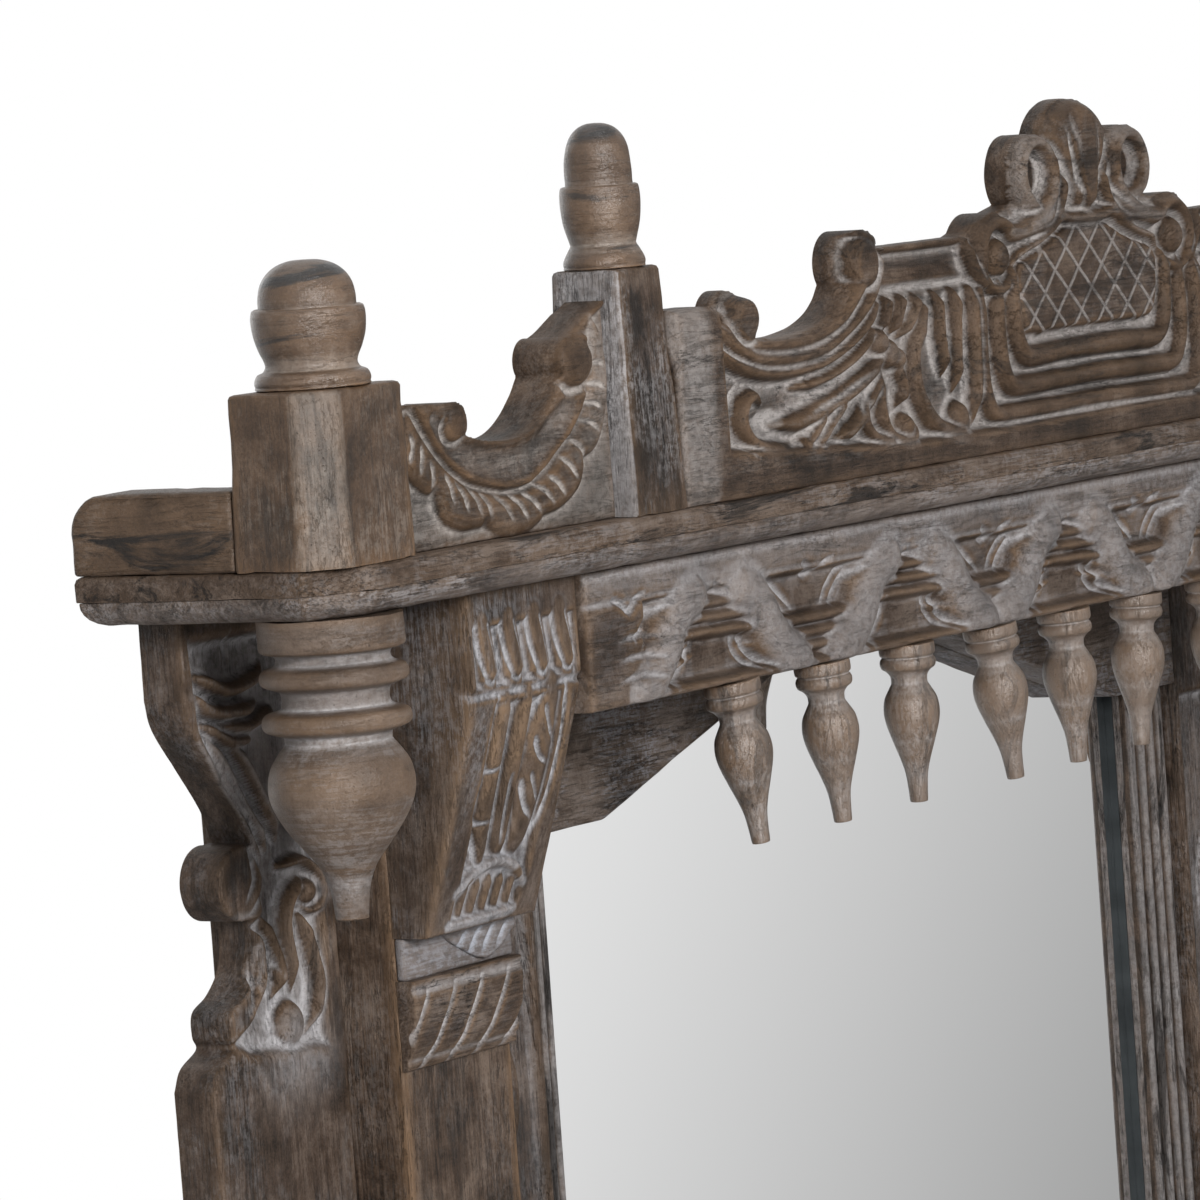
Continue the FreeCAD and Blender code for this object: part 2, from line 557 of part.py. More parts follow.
# Valance between the corbels, under the ledge, with a row of turned drops.
valance_face = front + d.valance_set
piece(box("valance", (2 * pilaster_in, d.valance_thick, d.valance_tall),
          (-pilaster_in, valance_face, d.ledge_height - d.valance_tall)), "valance")
drop_bulb_foot = d.drop_tip_tall
drop_neck_foot = drop_bulb_foot + d.drop_bulb_tall
drop_collar_foot = drop_neck_foot + d.drop_neck_tall
drop_tall = drop_collar_foot + d.drop_collar_tall
collar_root = d.drop_collar / 2 - d.drop_collar_tall * 0.182
for i in range(int(d.drop_count.value)):
    piece(turned(f"drop_{i + 1}", [
        (ZERO, ZERO), (d.drop_tip / 2, ZERO), (d.drop_tip * 0.6, drop_bulb_foot * 0.5, -15),
        (d.drop_bulb * 0.36, drop_bulb_foot, 12),
        (d.drop_bulb / 2, drop_bulb_foot + d.drop_bulb_tall * 0.6, 50),
        (d.drop_neck / 2, drop_neck_foot), (d.drop_neck / 2, drop_collar_foot - d.drop_neck_tall * 0.3),
        (collar_root, drop_collar_foot, 80), (collar_root, drop_tall), (ZERO, drop_tall)],
        ((i - (d.drop_count - 1) / 2) * d.drop_pitch, valance_face + d.valance_thick / 2,
         d.ledge_height - d.valance_tall - drop_tall)), f"drop_{i + 1}")

doc.recompute()
for obj in doc.Objects:
    if "Invalid" in obj.State or "Error" in obj.State:
        raise RuntimeError(f"{obj.Label} failed: {obj.State}")
for obj in PIECES:
    if obj.Shape.isNull() or not obj.Shape.isValid() or len(obj.Shape.Solids) != 1:
        raise RuntimeError(f"{obj.Label} is not one valid solid")

os.makedirs("parts", exist_ok=True)
for obj in PIECES:
    obj.Shape.exportStep(os.path.join("parts", f"{obj.Label}.step"))
print(f"{len(PIECES)} pieces")
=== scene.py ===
import math

import bmesh
import bpy
import numpy as np
from mathutils import Matrix, Vector


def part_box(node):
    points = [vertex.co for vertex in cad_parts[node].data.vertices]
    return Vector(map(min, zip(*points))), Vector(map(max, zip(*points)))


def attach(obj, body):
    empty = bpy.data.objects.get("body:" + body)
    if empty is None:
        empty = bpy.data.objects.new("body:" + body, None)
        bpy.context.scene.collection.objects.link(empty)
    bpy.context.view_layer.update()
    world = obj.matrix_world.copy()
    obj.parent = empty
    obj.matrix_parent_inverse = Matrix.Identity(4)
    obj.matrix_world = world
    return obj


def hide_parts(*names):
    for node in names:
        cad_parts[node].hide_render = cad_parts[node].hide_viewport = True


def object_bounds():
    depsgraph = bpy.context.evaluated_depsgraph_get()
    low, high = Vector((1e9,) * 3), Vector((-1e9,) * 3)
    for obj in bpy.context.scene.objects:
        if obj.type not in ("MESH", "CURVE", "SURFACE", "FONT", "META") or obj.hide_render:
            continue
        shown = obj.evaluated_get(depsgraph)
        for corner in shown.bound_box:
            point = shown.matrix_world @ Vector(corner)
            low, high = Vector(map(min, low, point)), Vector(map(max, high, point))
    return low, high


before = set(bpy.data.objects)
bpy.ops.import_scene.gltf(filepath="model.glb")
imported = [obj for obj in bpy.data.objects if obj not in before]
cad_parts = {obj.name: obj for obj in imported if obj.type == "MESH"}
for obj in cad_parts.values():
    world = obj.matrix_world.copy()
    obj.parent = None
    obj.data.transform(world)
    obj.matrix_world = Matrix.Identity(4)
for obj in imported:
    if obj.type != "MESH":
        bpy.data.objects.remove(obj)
cad_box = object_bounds()

# Studio: a pale floor under soft light, and the photograph's camera, which stands off the left end of
# the ledge, a little above it, tilted by a few degrees. The glass shows a light wall that fades to a side.
scene = bpy.context.scene
scene.view_settings.view_transform = "Standard"
camera_turn, camera_dip, camera_tilt = math.radians(57.0), math.radians(-4.4), math.radians(4.2)
ahead = Vector((math.sin(camera_turn) * math.cos(camera_dip), math.cos(camera_turn) * math.cos(camera_dip),
                math.sin(camera_dip)))
level = Vector((math.cos(camera_turn), -math.sin(camera_turn), 0))
upright = level.cross(ahead)
across = level * math.cos(camera_tilt) - upright * math.sin(camera_tilt)
above = level * math.sin(camera_tilt) + upright * math.cos(camera_tilt)
camera = bpy.data.objects.new("camera", bpy.data.cameras.new("camera"))
camera.data.sensor_width = 36.0
camera.data.lens = 219.1
camera.matrix_world = Matrix((across, above, -ahead)).transposed().to_4x4()
camera.location = (-3.144, -1.830, 1.635)
scene.collection.objects.link(camera)
scene.camera = camera


class Value:
    """A shader output that takes part in arithmetic, so that 1 - mask adds a Math node."""

    def __init__(self, tree, socket):
        self.tree, self.socket = tree, socket

    def node(self, kind, settings, sockets, output=0):
        node = self.tree.nodes.new(kind)
        for name, setting in settings.items():
            if name == "stops":
                stops = node.color_ramp.elements
                while len(stops) < len(setting):
                    stops.new(1.0)
                for stop, (place, shade) in zip(stops, setting):
                    stop.position, stop.color = place, shade
            else:
                setattr(node, name, setting)
        for name, value in sockets.items():
            if isinstance(value, Value):
                self.tree.links.new(value.socket, node.inputs[name])
            else:
                node.inputs[name].default_value = value
        return Value(self.tree, node.outputs[output])

    def math(self, operation, first, second):
        return self.node("ShaderNodeMath", {"operation": operation}, {0: first, 1: second})

    def __add__(self, other): return self.math("ADD", self, other)
    def __radd__(self, other): return self.math("ADD", other, self)
    def __sub__(self, other): return self.math("SUBTRACT", self, other)
    def __rsub__(self, other): return self.math("SUBTRACT", other, self)
    def __mul__(self, other): return self.math("MULTIPLY", self, other)
    def __rmul__(self, other): return self.math("MULTIPLY", other, self)

    def clamp(self):
        return self.node("ShaderNodeClamp", {}, {0: self})

    def between(self, low, high):
        """0 below low, 1 above high, and a soft step between them."""
        return self.node("ShaderNodeMapRange", {"interpolation_type": "SMOOTHSTEP"},
            {0: self, 1: low, 2: high})

    def blend(self, low, high):
        """The first colour where this is 0, the second where it is 1."""
        return self.node("ShaderNodeMix", {"data_type": "RGBA"}, {0: self, 6: low, 7: high}, 2)


floor_mesh = bpy.data.meshes.new("floor")
floor_half = 3.0
floor_corners = [(x * floor_half, y * floor_half, 0) for x, y in ((-1, -1), (1, -1), (1, 1), (-1, 1))]
floor_mesh.from_pydata(floor_corners, [], [(0, 1, 2, 3)])
floor = bpy.data.objects.new("floor", floor_mesh)
scene.collection.objects.link(floor)
floor_paint = bpy.data.materials.new("pale_floor")
floor_paint.use_nodes = True
floor_shader = floor_paint.node_tree.nodes["Principled BSDF"]
floor_shader.inputs["Base Color"].default_value = (0.8, 0.8, 0.8, 1)
floor_shader.inputs["Roughness"].default_value = 0.8
floor_mesh.materials.append(floor_paint)

world = bpy.data.worlds.new("studio")
scene.world = world
world.use_nodes = True
sky = world.node_tree
ray = sky.nodes.new("ShaderNodeLightPath")
seen = Value(sky, ray.outputs["Is Camera Ray"])
mirrored = Value(sky, ray.outputs["Is Glossy Ray"])
heading = Value(sky, sky.nodes.new("ShaderNodeTexCoord").outputs["Generated"])
heading_x = heading.node("ShaderNodeSeparateXYZ", {}, {0: heading}, 0)
heading_z = heading.node("ShaderNodeSeparateXYZ", {}, {0: heading}, 2)
fade_lean, fade_start, fade_stop = 0.35, 0.835, 0.955
fade = (heading_x - fade_lean * heading_z).between(fade_start, fade_stop)
wall_shade = fade.blend((0.98, 0.98, 0.98, 1), (0.25, 0.25, 0.25, 1))
around = mirrored.blend((0.05, 0.05, 0.052, 1), wall_shade)
sky.links.new(seen.blend(around, (1, 1, 1, 1)).socket, sky.nodes["Background"].inputs["Color"])

lamp_aim = Vector((-0.3, 0, 1.3))
for lamp_name, lamp_place, lamp_size, lamp_power in (
        ("key_lamp", (-2.5, -3.2, 2.35), 0.9, 190), ("fill_lamp", (-3.4, -0.6, 1.8), 2.2, 13),
        ("top_lamp", (-0.6, 0.4, 4.2), 1.6, 18), ("back_lamp", (1.2, 3.4, 2.2), 2.0, 18)):
    lamp = bpy.data.objects.new(lamp_name, bpy.data.lights.new(lamp_name, "AREA"))
    lamp.data.size, lamp.data.energy = lamp_size, lamp_power
    lamp.location = lamp_place
    lamp.rotation_euler = (lamp_aim - lamp.location).to_track_quat("-Z", "Y").to_euler()
    scene.collection.objects.link(lamp)

# Base: the bottom rail, a plinth board, a sill and two blocks that stand on the floor, plain sawn boards
# with eased edges, glued and pinned together. Old wood, limewashed and rubbed back.
MM = 0.001
SIDES = "left", "right"
WOOD_DARK, WOOD_BROWN = (0.013, 0.008, 0.005, 1), (0.058, 0.037, 0.025, 1)
WOOD_GREY, WOOD_WORN = (0.140, 0.102, 0.077, 1), (0.180, 0.110, 0.062, 1)
WOOD_STAIN, LIMEWASH = (0.008, 0.006, 0.005, 1), (0.400, 0.372, 0.355, 1)


def limewashed(name, grain, haze=0.3, stain=0.3, warm=0.5, lift=0.0, streak=1.0, wash=0.0, polish=0.0,
               cool=0.0, shift=(0, 0, 0), scored=None):
    """Old wood with limewash left in its hollows: pale in the cuts, brown on worn edges, stained in patches.

    Cool turns its colours towards slate, or towards brown below 0, and the limewash attribute below 0 is
    painted shade, laid on in the stain colour.
    """
    material = bpy.data.materials.new(name)
    material.use_nodes = True
    tree = material.node_tree
    shader = tree.nodes["Principled BSDF"]
    shader.inputs["Specular IOR Level"].default_value = 0.18 + polish
    here = Value(tree, tree.nodes.new("ShaderNodeTexCoord").outputs["Object"])
    place = here.node("ShaderNodeMapping", {}, {"Vector": here, "Location": shift})
    fine, broad = ([factor if axis in grain else 1.0 for axis in "xyz"] for factor in (0.05, 0.16))
    drawn = here.node("ShaderNodeMapping", {}, {"Vector": place, "Scale": fine})
    pulled = here.node("ShaderNodeMapping", {}, {"Vector": place, "Scale": broad})

    def noise(where, scale, detail, roughness=0.55, distortion=0.0):
        return here.node("ShaderNodeTexNoise", {}, {"Vector": where, "Scale": scale, "Detail": detail,
            "Roughness": roughness, "Distortion": distortion})

    fibres = noise(drawn, 620, 5, 0.7) - 0.5
    figure = noise(pulled, 75, 8, 0.7, 0.6) - 0.5
    clouds = noise(place, 24, 10, 0.72, 0.3) - 0.5
    patches = noise(place, 16, 9, 0.7)
    flecks = noise(place, 260, 6, 0.75)
    grit = noise(place, 850, 4, 0.7)
    blots = noise(pulled, 62, 9, 0.7, 0.8)
    pores = noise(drawn, 1500, 3)
    residue = noise(drawn, 900, 6, 0.75)
    lime = here.node("ShaderNodeAttribute", {"attribute_name": "lime"}, {}, 2)
    wear = here.node("ShaderNodeAttribute", {"attribute_name": "wear"}, {}, 2)

    tone = 0.5 + lift + (figure * 0.42 + fibres * 0.34) * streak + clouds * 0.75 + (grit - 0.5) * 0.28
    dark, brown, grey, worn_wood, limewash = (
        tuple(channel * (1 + cool * change) for channel, change in zip(colour, (-0.1, 0.04, 0.25, 0)))
        for colour in (WOOD_DARK, WOOD_BROWN, WOOD_GREY, WOOD_WORN, LIMEWASH))
    wood = tone.node("ShaderNodeValToRGB", {"stops": [(0.37, dark), (0.49, brown), (0.63, grey)]}, {0: tone})
    worn = (wear * (patches.between(0.35, 0.6) * 0.7 + 0.3) * warm).clamp()
    rubbed = worn.blend(wood, worn_wood)
    dusting = (flecks * 0.5 + residue * 0.5).between(0.45, 0.56)
    film = patches.between(0.4, 0.6) * dusting * haze
    cuts = lime * (0.55 + 0.5 * flecks.between(0.3, 0.62))
    limed = film + cuts + wash * (0.2 + patches) * (0.4 + 0.6 * dusting) - 0.25 * worn
    surface = fibres * (0.5 * streak) + flecks * 0.6 + grit * 0.5
    if scored:
        lines = scored(here)
        limed = limed + lines * (0.3 + 0.5 * flecks)
        surface = surface - lines * 1.5
    limed = limed.clamp() * 0.9
    washed = limed.blend(rubbed, limewash)
    cracks = 0.6 - 0.6 * figure.math("ABSOLUTE", figure, 0).between(0.002, 0.010)
    pits = pores.between(0.56, 0.7) * (0.4 * streak) + grit.between(0.6, 0.7) * 0.45
    # Stains in blots, and painted shade wherever the limewash attribute is below 0.
    stain_and_shade = blots.between(0.53, 0.62) * stain + (lime * -0.8).clamp()
    dirt_and_shade = stain_and_shade + cracks * patches.between(0.45, 0.55) * streak + pits
    colour = dirt_and_shade.clamp().blend(washed, WOOD_STAIN)
    tree.links.new(colour.socket, shader.inputs["Base Color"])
    tree.links.new((0.42 - 0.5 * polish + 0.3 * limed + 0.15 * flecks).socket, shader.inputs["Roughness"])
    bump = here.node("ShaderNodeBump", {}, {"Height": surface - pits - cracks * streak, "Strength": 0.7,
                                            "Distance": 0.0009})
    tree.links.new(bump.socket, shader.inputs["Normal"])
    return material


def ripple(points, pitch, seed):
    """A smooth unevenness over points, from -1 to 1, with hollows about one pitch apart."""
    draw = np.random.default_rng(seed)
    total = np.zeros(len(points))
    for _ in range(5):
        lean = draw.normal(size=3)
        lean *= 2 * math.pi / pitch * draw.uniform(0.6, 1.5) / np.linalg.norm(lean)
        total += np.sin(points @ lean + draw.uniform(0, 2 * math.pi))
    return total / 3


def mark(mesh, **amounts):
    """Store amounts on a mesh's points, for its material to read."""
    for label, amount in amounts.items():
        mesh.attributes.new(label, "FLOAT", "POINT").data.foreach_set("value", amount.astype(np.float32))


def add_piece(name, points, faces, lime, wear, material, nodes, flip=False, uneven=0.2, chips=0.4, seed=1,
              crisp=50, field=None):
    """One piece of the mirror from points in millimetres, in place of its plain solids."""
    points = np.array(points, float)
    if flip:
        points[:, 0] *= -1
    mesh = bpy.data.meshes.new(name)
    mesh.from_pydata((points * MM).tolist(), [], [list(face) for face in faces])
    work = bmesh.new()
    work.from_mesh(mesh)
    bmesh.ops.recalc_face_normals(work, faces=work.faces)
    work.to_mesh(mesh)
    work.free()
    normals = np.zeros(len(points) * 3)
    mesh.vertices.foreach_get("normal", normals)
    lime, wear = np.clip(lime, -1, 1), np.clip(wear, 0, 1)
    swell = uneven * ripple(points, 90, seed) - chips * wear * np.clip(ripple(points, 17, seed + 50), 0, 1)
    points += normals.reshape(-1, 3) * swell[:, None]
    points = np.clip(points, np.array(cad_box[0]) / MM, np.array(cad_box[1]) / MM)
    mesh.vertices.foreach_set("co", (points * MM).astype(np.float32).ravel())
    mark(mesh, lime=lime, wear=wear, **({} if field is None else {"field": field}))
    mesh.shade_smooth()
    mesh.set_sharp_from_angle(angle=math.radians(crisp))
    mesh.materials.append(material)
    piece = bpy.data.objects.new(name, mesh)
    scene.collection.objects.link(piece)
    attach(piece, "root")
    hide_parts(*nodes)


def add_side(side, name, shape, material, solid=True, **looks):
    """The left one of a pair, or its mirror image on the right, in place of its solid if it has one."""
    name = f"{name}_{side}"
    add_piece(name, *shape, material, [name] if solid else [], side == "right", **looks)


def add_pair(*piece, **looks):
    """A piece on the left and its mirror image on the right."""
    for side in SIDES:
        add_side(side, *piece, **looks)


def span(node):
    """The lowest and highest corners of a solid, in millimetres."""
    return [np.array(corner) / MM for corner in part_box(node)]


def rectangle(low, high, across=0, up=1):
    """The corners of a box, seen along its third axis."""
    return [(low[across], low[up]), (high[across], low[up]), (high[across], high[up]),
        (low[across], high[up])]


def tube(rings, size):
    """Faces between rings of points, each listed after the ring before it."""
    return [(r * size + c, r * size + (c + 1) % size, (r + 1) * size + (c + 1) % size, (r + 1) * size + c)
            for r in range(rings - 1) for c in range(size)]


def inset_corners(corners, inset):
    """An outline moved in by one distance, with its corners kept."""
    edges = np.roll(corners, -1, 0) - corners
    edges /= np.linalg.norm(edges, axis=1)[:, None]
    inward = np.stack([-edges[:, 1], edges[:, 0]], 1)
    before = np.roll(inward, 1, 0)
    return corners + inset * (before + inward) / (1 + (before * inward).sum(1))[:, None]


def eased_ring(corners, radius, shares):
    """Points round an outline with eased corners; shares are where each edge is divided."""
    ring = []
    for i, corner in enumerate(corners):
        after = corners[(i + 1) % len(corners)]
        back, on = corners[i - 1] - corner, after - corner
        short = min(radius, 0.3 * np.linalg.norm(back), 0.3 * np.linalg.norm(on))
        back, on = back * short / np.linalg.norm(back), on * short / np.linalg.norm(on)
        ring += [corner + (1 - t) ** 2 * back + t ** 2 * on for t in (0, 1 / 3, 2 / 3, 1)]
        ring += [corner + on + (after - corner - 2 * on) * share for share in shares[i]]
    return np.array(ring)


def moulded(corners, levels, axis="z", radius=1.5, step=14):
    """A board, post or moulding: an outline carried along an axis, as points, faces, lime and wear."""
    corners = np.array(corners, float)
    if np.sum(corners[:, 0] * np.roll(corners[:, 1], -1) - corners[:, 1] * np.roll(corners[:, 0], -1)) < 0:
        corners = corners[::-1]
    edges = np.roll(corners, -1, 0) - corners
    lengths = np.linalg.norm(edges, axis=1)
    turns = np.cross(np.roll(edges, 1, 0), edges) / (lengths * np.roll(lengths, 1))
    shares, ring_wear, ring_lime = [], [], []
    for i, length in enumerate(lengths):
        close = [gap for gap in (2, 5, 9) if gap < length / 3]
        spread = np.linspace(9, length - 9, max(2, int(length / step)))[1:-1] if length > 40 else []
        places = np.array(sorted([*close, *spread, *(length - gap for gap in close)]))
        shares.append(places / length)
        fade = [np.exp(-places / 3.5), np.exp(-(length - places) / 3.5)]
        ends = [turns[i], turns[(i + 1) % len(corners)]]
        for store, sign in ((ring_wear, 1), (ring_lime, -1)):
            store += [max(0, sign * turns[i])] * 4
            store += list(sum(np.clip(sign * end, 0, 1) * part for end, part in zip(ends, fade)))
    rows = [eased_ring(inset_corners(corners, inset), radius, shares) for _, inset in levels]
    heights = np.array([height for height, _ in levels])
    size = len(rows[0])
    points = np.array([np.column_stack([row, np.full(size, height)]) for row, height in zip(rows, heights)])
    order = {"z": (0, 1, 2), "x": (2, 0, 1), "y": (0, 2, 1)}[axis]
    points = points.reshape(-1, 3)[:, order]
    end_gap = np.minimum(np.abs(heights - heights[0]), np.abs(heights[-1] - heights))
    wear = np.maximum(np.array(ring_wear)[None], np.exp(-end_gap / 3.0)[:, None]).ravel()
    lime = np.tile(ring_lime, len(levels))
    faces = tube(len(levels), size)
    faces += [tuple(range(size))[::-1], tuple(range((len(levels) - 1) * size, len(levels) * size))]
    return points, faces, lime, wear


def length_levels(low, high, ease=1.5, step=30):
    """Levels along a straight piece, drawn in at both ends."""
    middle = np.linspace(low + ease, high - ease, max(2, int((high - low) / step) + 1))
    ends = ((low, ease), (low + 0.3 * ease, 0.3 * ease)), ((high - 0.3 * ease, 0.3 * ease), (high, ease))
    return [*ends[0], *((float(place), 0.0) for place in middle), *ends[1]]


def plank(node, material, axis, **looks):
    """A plain board in the place of a boxed solid, with its length along one axis."""
    low, high = span(node)
    along = "xyz".index(axis)
    across, up = [i for i in range(3) if i != along]
    shape = moulded(rectangle(low, high, across, up), length_levels(low[along], high[along]), axis)
    add_piece(node, *shape, material, [node], **looks)


base_wood = limewashed("base_wood", "x", haze=0.35, stain=0.35)
block_wood = limewashed("block_wood", "z", haze=0.3, stain=0.4, shift=(0.4, 0, 0))
plank("bottom_rail", base_wood, "x", seed=3)
plank("plinth", base_wood, "x", seed=4)
sill_low, sill_high = span("sill")
stile_in, stile_face, _ = span("stile_right")[0]
sill_corners = [(sill_low[0], sill_low[1]), (sill_high[0], sill_low[1]), (sill_high[0], stile_face),
                (stile_in, stile_face), (stile_in, sill_high[1]), (-stile_in, sill_high[1]),
                (-stile_in, stile_face), (sill_low[0], stile_face)]
add_piece("sill", *moulded(sill_corners, length_levels(sill_low[2], sill_high[2], 3, 12)), base_wood,
    ["sill"], seed=5)
for side in SIDES:
    plank(f"base_block_{side}", block_wood, "z", seed=6)

# Stiles: upright boards against the wall. The strip beside the opening is carved with a running vine, a wavy
# stem with a curled leaf in each bend, sunk below the face.


def smooth(points, parts=7):
    """A smooth line through a few points."""
    points = np.array(points, float)
    if len(points) < 3:
        return points
    padded = np.vstack([2 * points[0] - points[1], points, 2 * points[-1] - points[-2]])
    line = []
    for i in range(1, len(padded) - 2):
        a, b, c, e = padded[i - 1:i + 3]
        for t in np.linspace(0, 1, parts, endpoint=False):
            line.append(0.5 * (2 * b + (c - a) * t + (2 * a - 5 * b + 4 * c - e) * t ** 2
                               + (3 * b - a - 3 * c + e) * t ** 3))
    return np.array(line + [points[-1]])


def coil(x, z, start, stop, first, last):
    """A scroll's line round a middle, from one angle and radius to another."""
    turn = np.radians(np.linspace(start, stop, max(6, int(abs(stop - start) / 15))))
    reach = np.linspace(first, last, len(turn))
    return np.column_stack([x + reach * np.cos(turn), z + reach * np.sin(turn)])


def blurred(heights, spread):
    """Heights averaged over a number of grid steps."""
    pad = int(3 * spread) + 1
    padded = np.pad(heights, pad, mode="edge")
    down = np.fft.fftfreq(padded.shape[0])[:, None]
    over = np.fft.rfftfreq(padded.shape[1])[None]
    soft = np.exp(-2 * (math.pi * spread) ** 2 * (down ** 2 + over ** 2))
    return np.fft.irfft2(np.fft.rfft2(padded) * soft, padded.shape)[pad:-pad, pad:-pad]


class Relief:
    """A carved face: heights in millimetres over a fine grid, raised and cut by strokes."""

    def __init__(self, left, right, low, high, step, plain=()):
        self.step = step
        self.x = np.linspace(left, right, int(round((right - left) / step)) + 1)
        self.z = np.linspace(low, high, int(round((high - low) / step)) + 1)
        self.z = np.sort(np.concatenate([self.z, plain]))
        self.gx, self.gz = np.meshgrid(self.x, self.z)
        self.up = np.zeros(self.gx.shape)
        self.pale = np.zeros(self.gx.shape)

    def near(self, line, reach):
        """The grid round a line, with the distance to it and the way along it."""
        low, high = line.min(0) - reach, line.max(0) + reach
        where = (slice(*np.searchsorted(self.z, (low[1], high[1]))),
                 slice(*np.searchsorted(self.x, (low[0], high[0]))))
        px, pz = self.gx[where], self.gz[where]
        gap, way = np.full(px.shape, 1e6), np.zeros(px.shape)
        lengths = np.maximum(np.linalg.norm(np.diff(line, axis=0), axis=1), 1e-6)
        run = np.concatenate([[0], np.cumsum(lengths)]) / lengths.sum()
        for i, length in enumerate(lengths):
            dx, dz = line[i + 1] - line[i]
            part = np.clip(((px - line[i][0]) * dx + (pz - line[i][1]) * dz) / length ** 2, 0, 1)
            here = np.hypot(px - line[i][0] - part * dx, pz - line[i][1] - part * dz)
            closer = here < gap
            gap = np.where(closer, here, gap)
            way = np.where(closer, run[i] + part * (run[i + 1] - run[i]), way)
        return where, gap, way

    def stroke(self, points, width, ends):
        """The grid round a stroke, how slim it is along the line, and its height across it from 0 to 1."""
        where, gap, way = self.near(smooth(points), width)
        slim = np.minimum(1, np.minimum(ends[0] + way / 0.3, ends[1] + (1 - way) / 0.3))
        return where, slim, np.clip(1 - (gap / (width / 2 * slim)) ** 2, 0, 1)

    def strand(self, points, width, height, base, ends=(0.35, 0.35), pale=0.0, crown=0.75):
        """A rounded ridge along a line, slimmer at its ends, standing on a base level."""
        where, slim, share = self.stroke(points, width, ends)
        ridge = base + height * slim * share ** crown
        self.up[where] = np.where(share > 0, np.maximum(self.up[where], ridge), self.up[where])
        self.pale[where] = np.where(share > 0.1, pale, self.pale[where])

    def cut(self, points, width, depth, ends=(0.15, 0.15), pale=0.0):
        """A gouge along a line, shallow at its ends."""
        where, slim, share = self.stroke(points, width, ends)
        self.up[where] -= depth * slim * share
        self.pale[where] = np.maximum(self.pale[where], pale * np.minimum(1, 2 * share))

    def boss(self, x, z, radius, height, base, pale=0.0):
        """A round knob."""
        share = 1 - ((self.gx - x) ** 2 + (self.gz - z) ** 2) / radius ** 2
        knob = base + height * np.sqrt(np.clip(share, 0, 1))
        self.up = np.where(share > 0, np.maximum(self.up, knob), self.up)
        self.pale = np.where(share > 0.05, pale, self.pale)

    def swell(self, shape, heights, pale):
        """Raise the inside of a shape to given heights."""
        self.up = np.where(shape < 0, np.maximum(self.up, heights), self.up)
        self.pale = np.where(shape < 0, pale, self.pale)

    def soften(self, spread):
        """Rub down what has been raised so far, before the fine cuts."""
        self.up = blurred(self.up, spread / self.step)
        self.pale = blurred(self.pale, spread / self.step)

    def inside(self, corners):
        """Signed distance to an outline, negative inside it."""
        line = np.vstack([corners, corners[:1]]).astype(float)
        reach = self.x[-1] - self.x[0] + self.z[-1] - self.z[0]
        _, gap, _ = self.near(line, reach)
        within = np.zeros(self.gx.shape, bool)
        for (ax, az), (bx, bz) in zip(line[:-1], line[1:]):
            if az != bz:
                crosses = (az > self.gz) != (bz > self.gz)
                within ^= crosses & (self.gx < (bx - ax) * (self.gz - az) / (bz - az) + ax)
        return np.where(within, -gap, gap)

    def board(self):
        """Signed distance to the edges of the whole face, negative inside them."""
        return self.inside(rectangle((self.x[0], self.z[0]), (self.x[-1], self.z[-1])))

    def disc(self, x, z, radius):
        """Signed distance to a round, negative inside it."""
        return np.hypot(self.gx - x, self.gz - z) - radius

    def sink(self, shape, depth, wall=2.5, pale=0.0):
        """Lower the ground inside a shape to a depth."""
        share = np.clip(-shape / wall, 0, 1)
        share = share * share * (3 - 2 * share)
        self.up = np.where(shape < 0, np.minimum(self.up, -depth * share), self.up)
        self.pale = np.where(shape < -wall / 2, pale, self.pale)


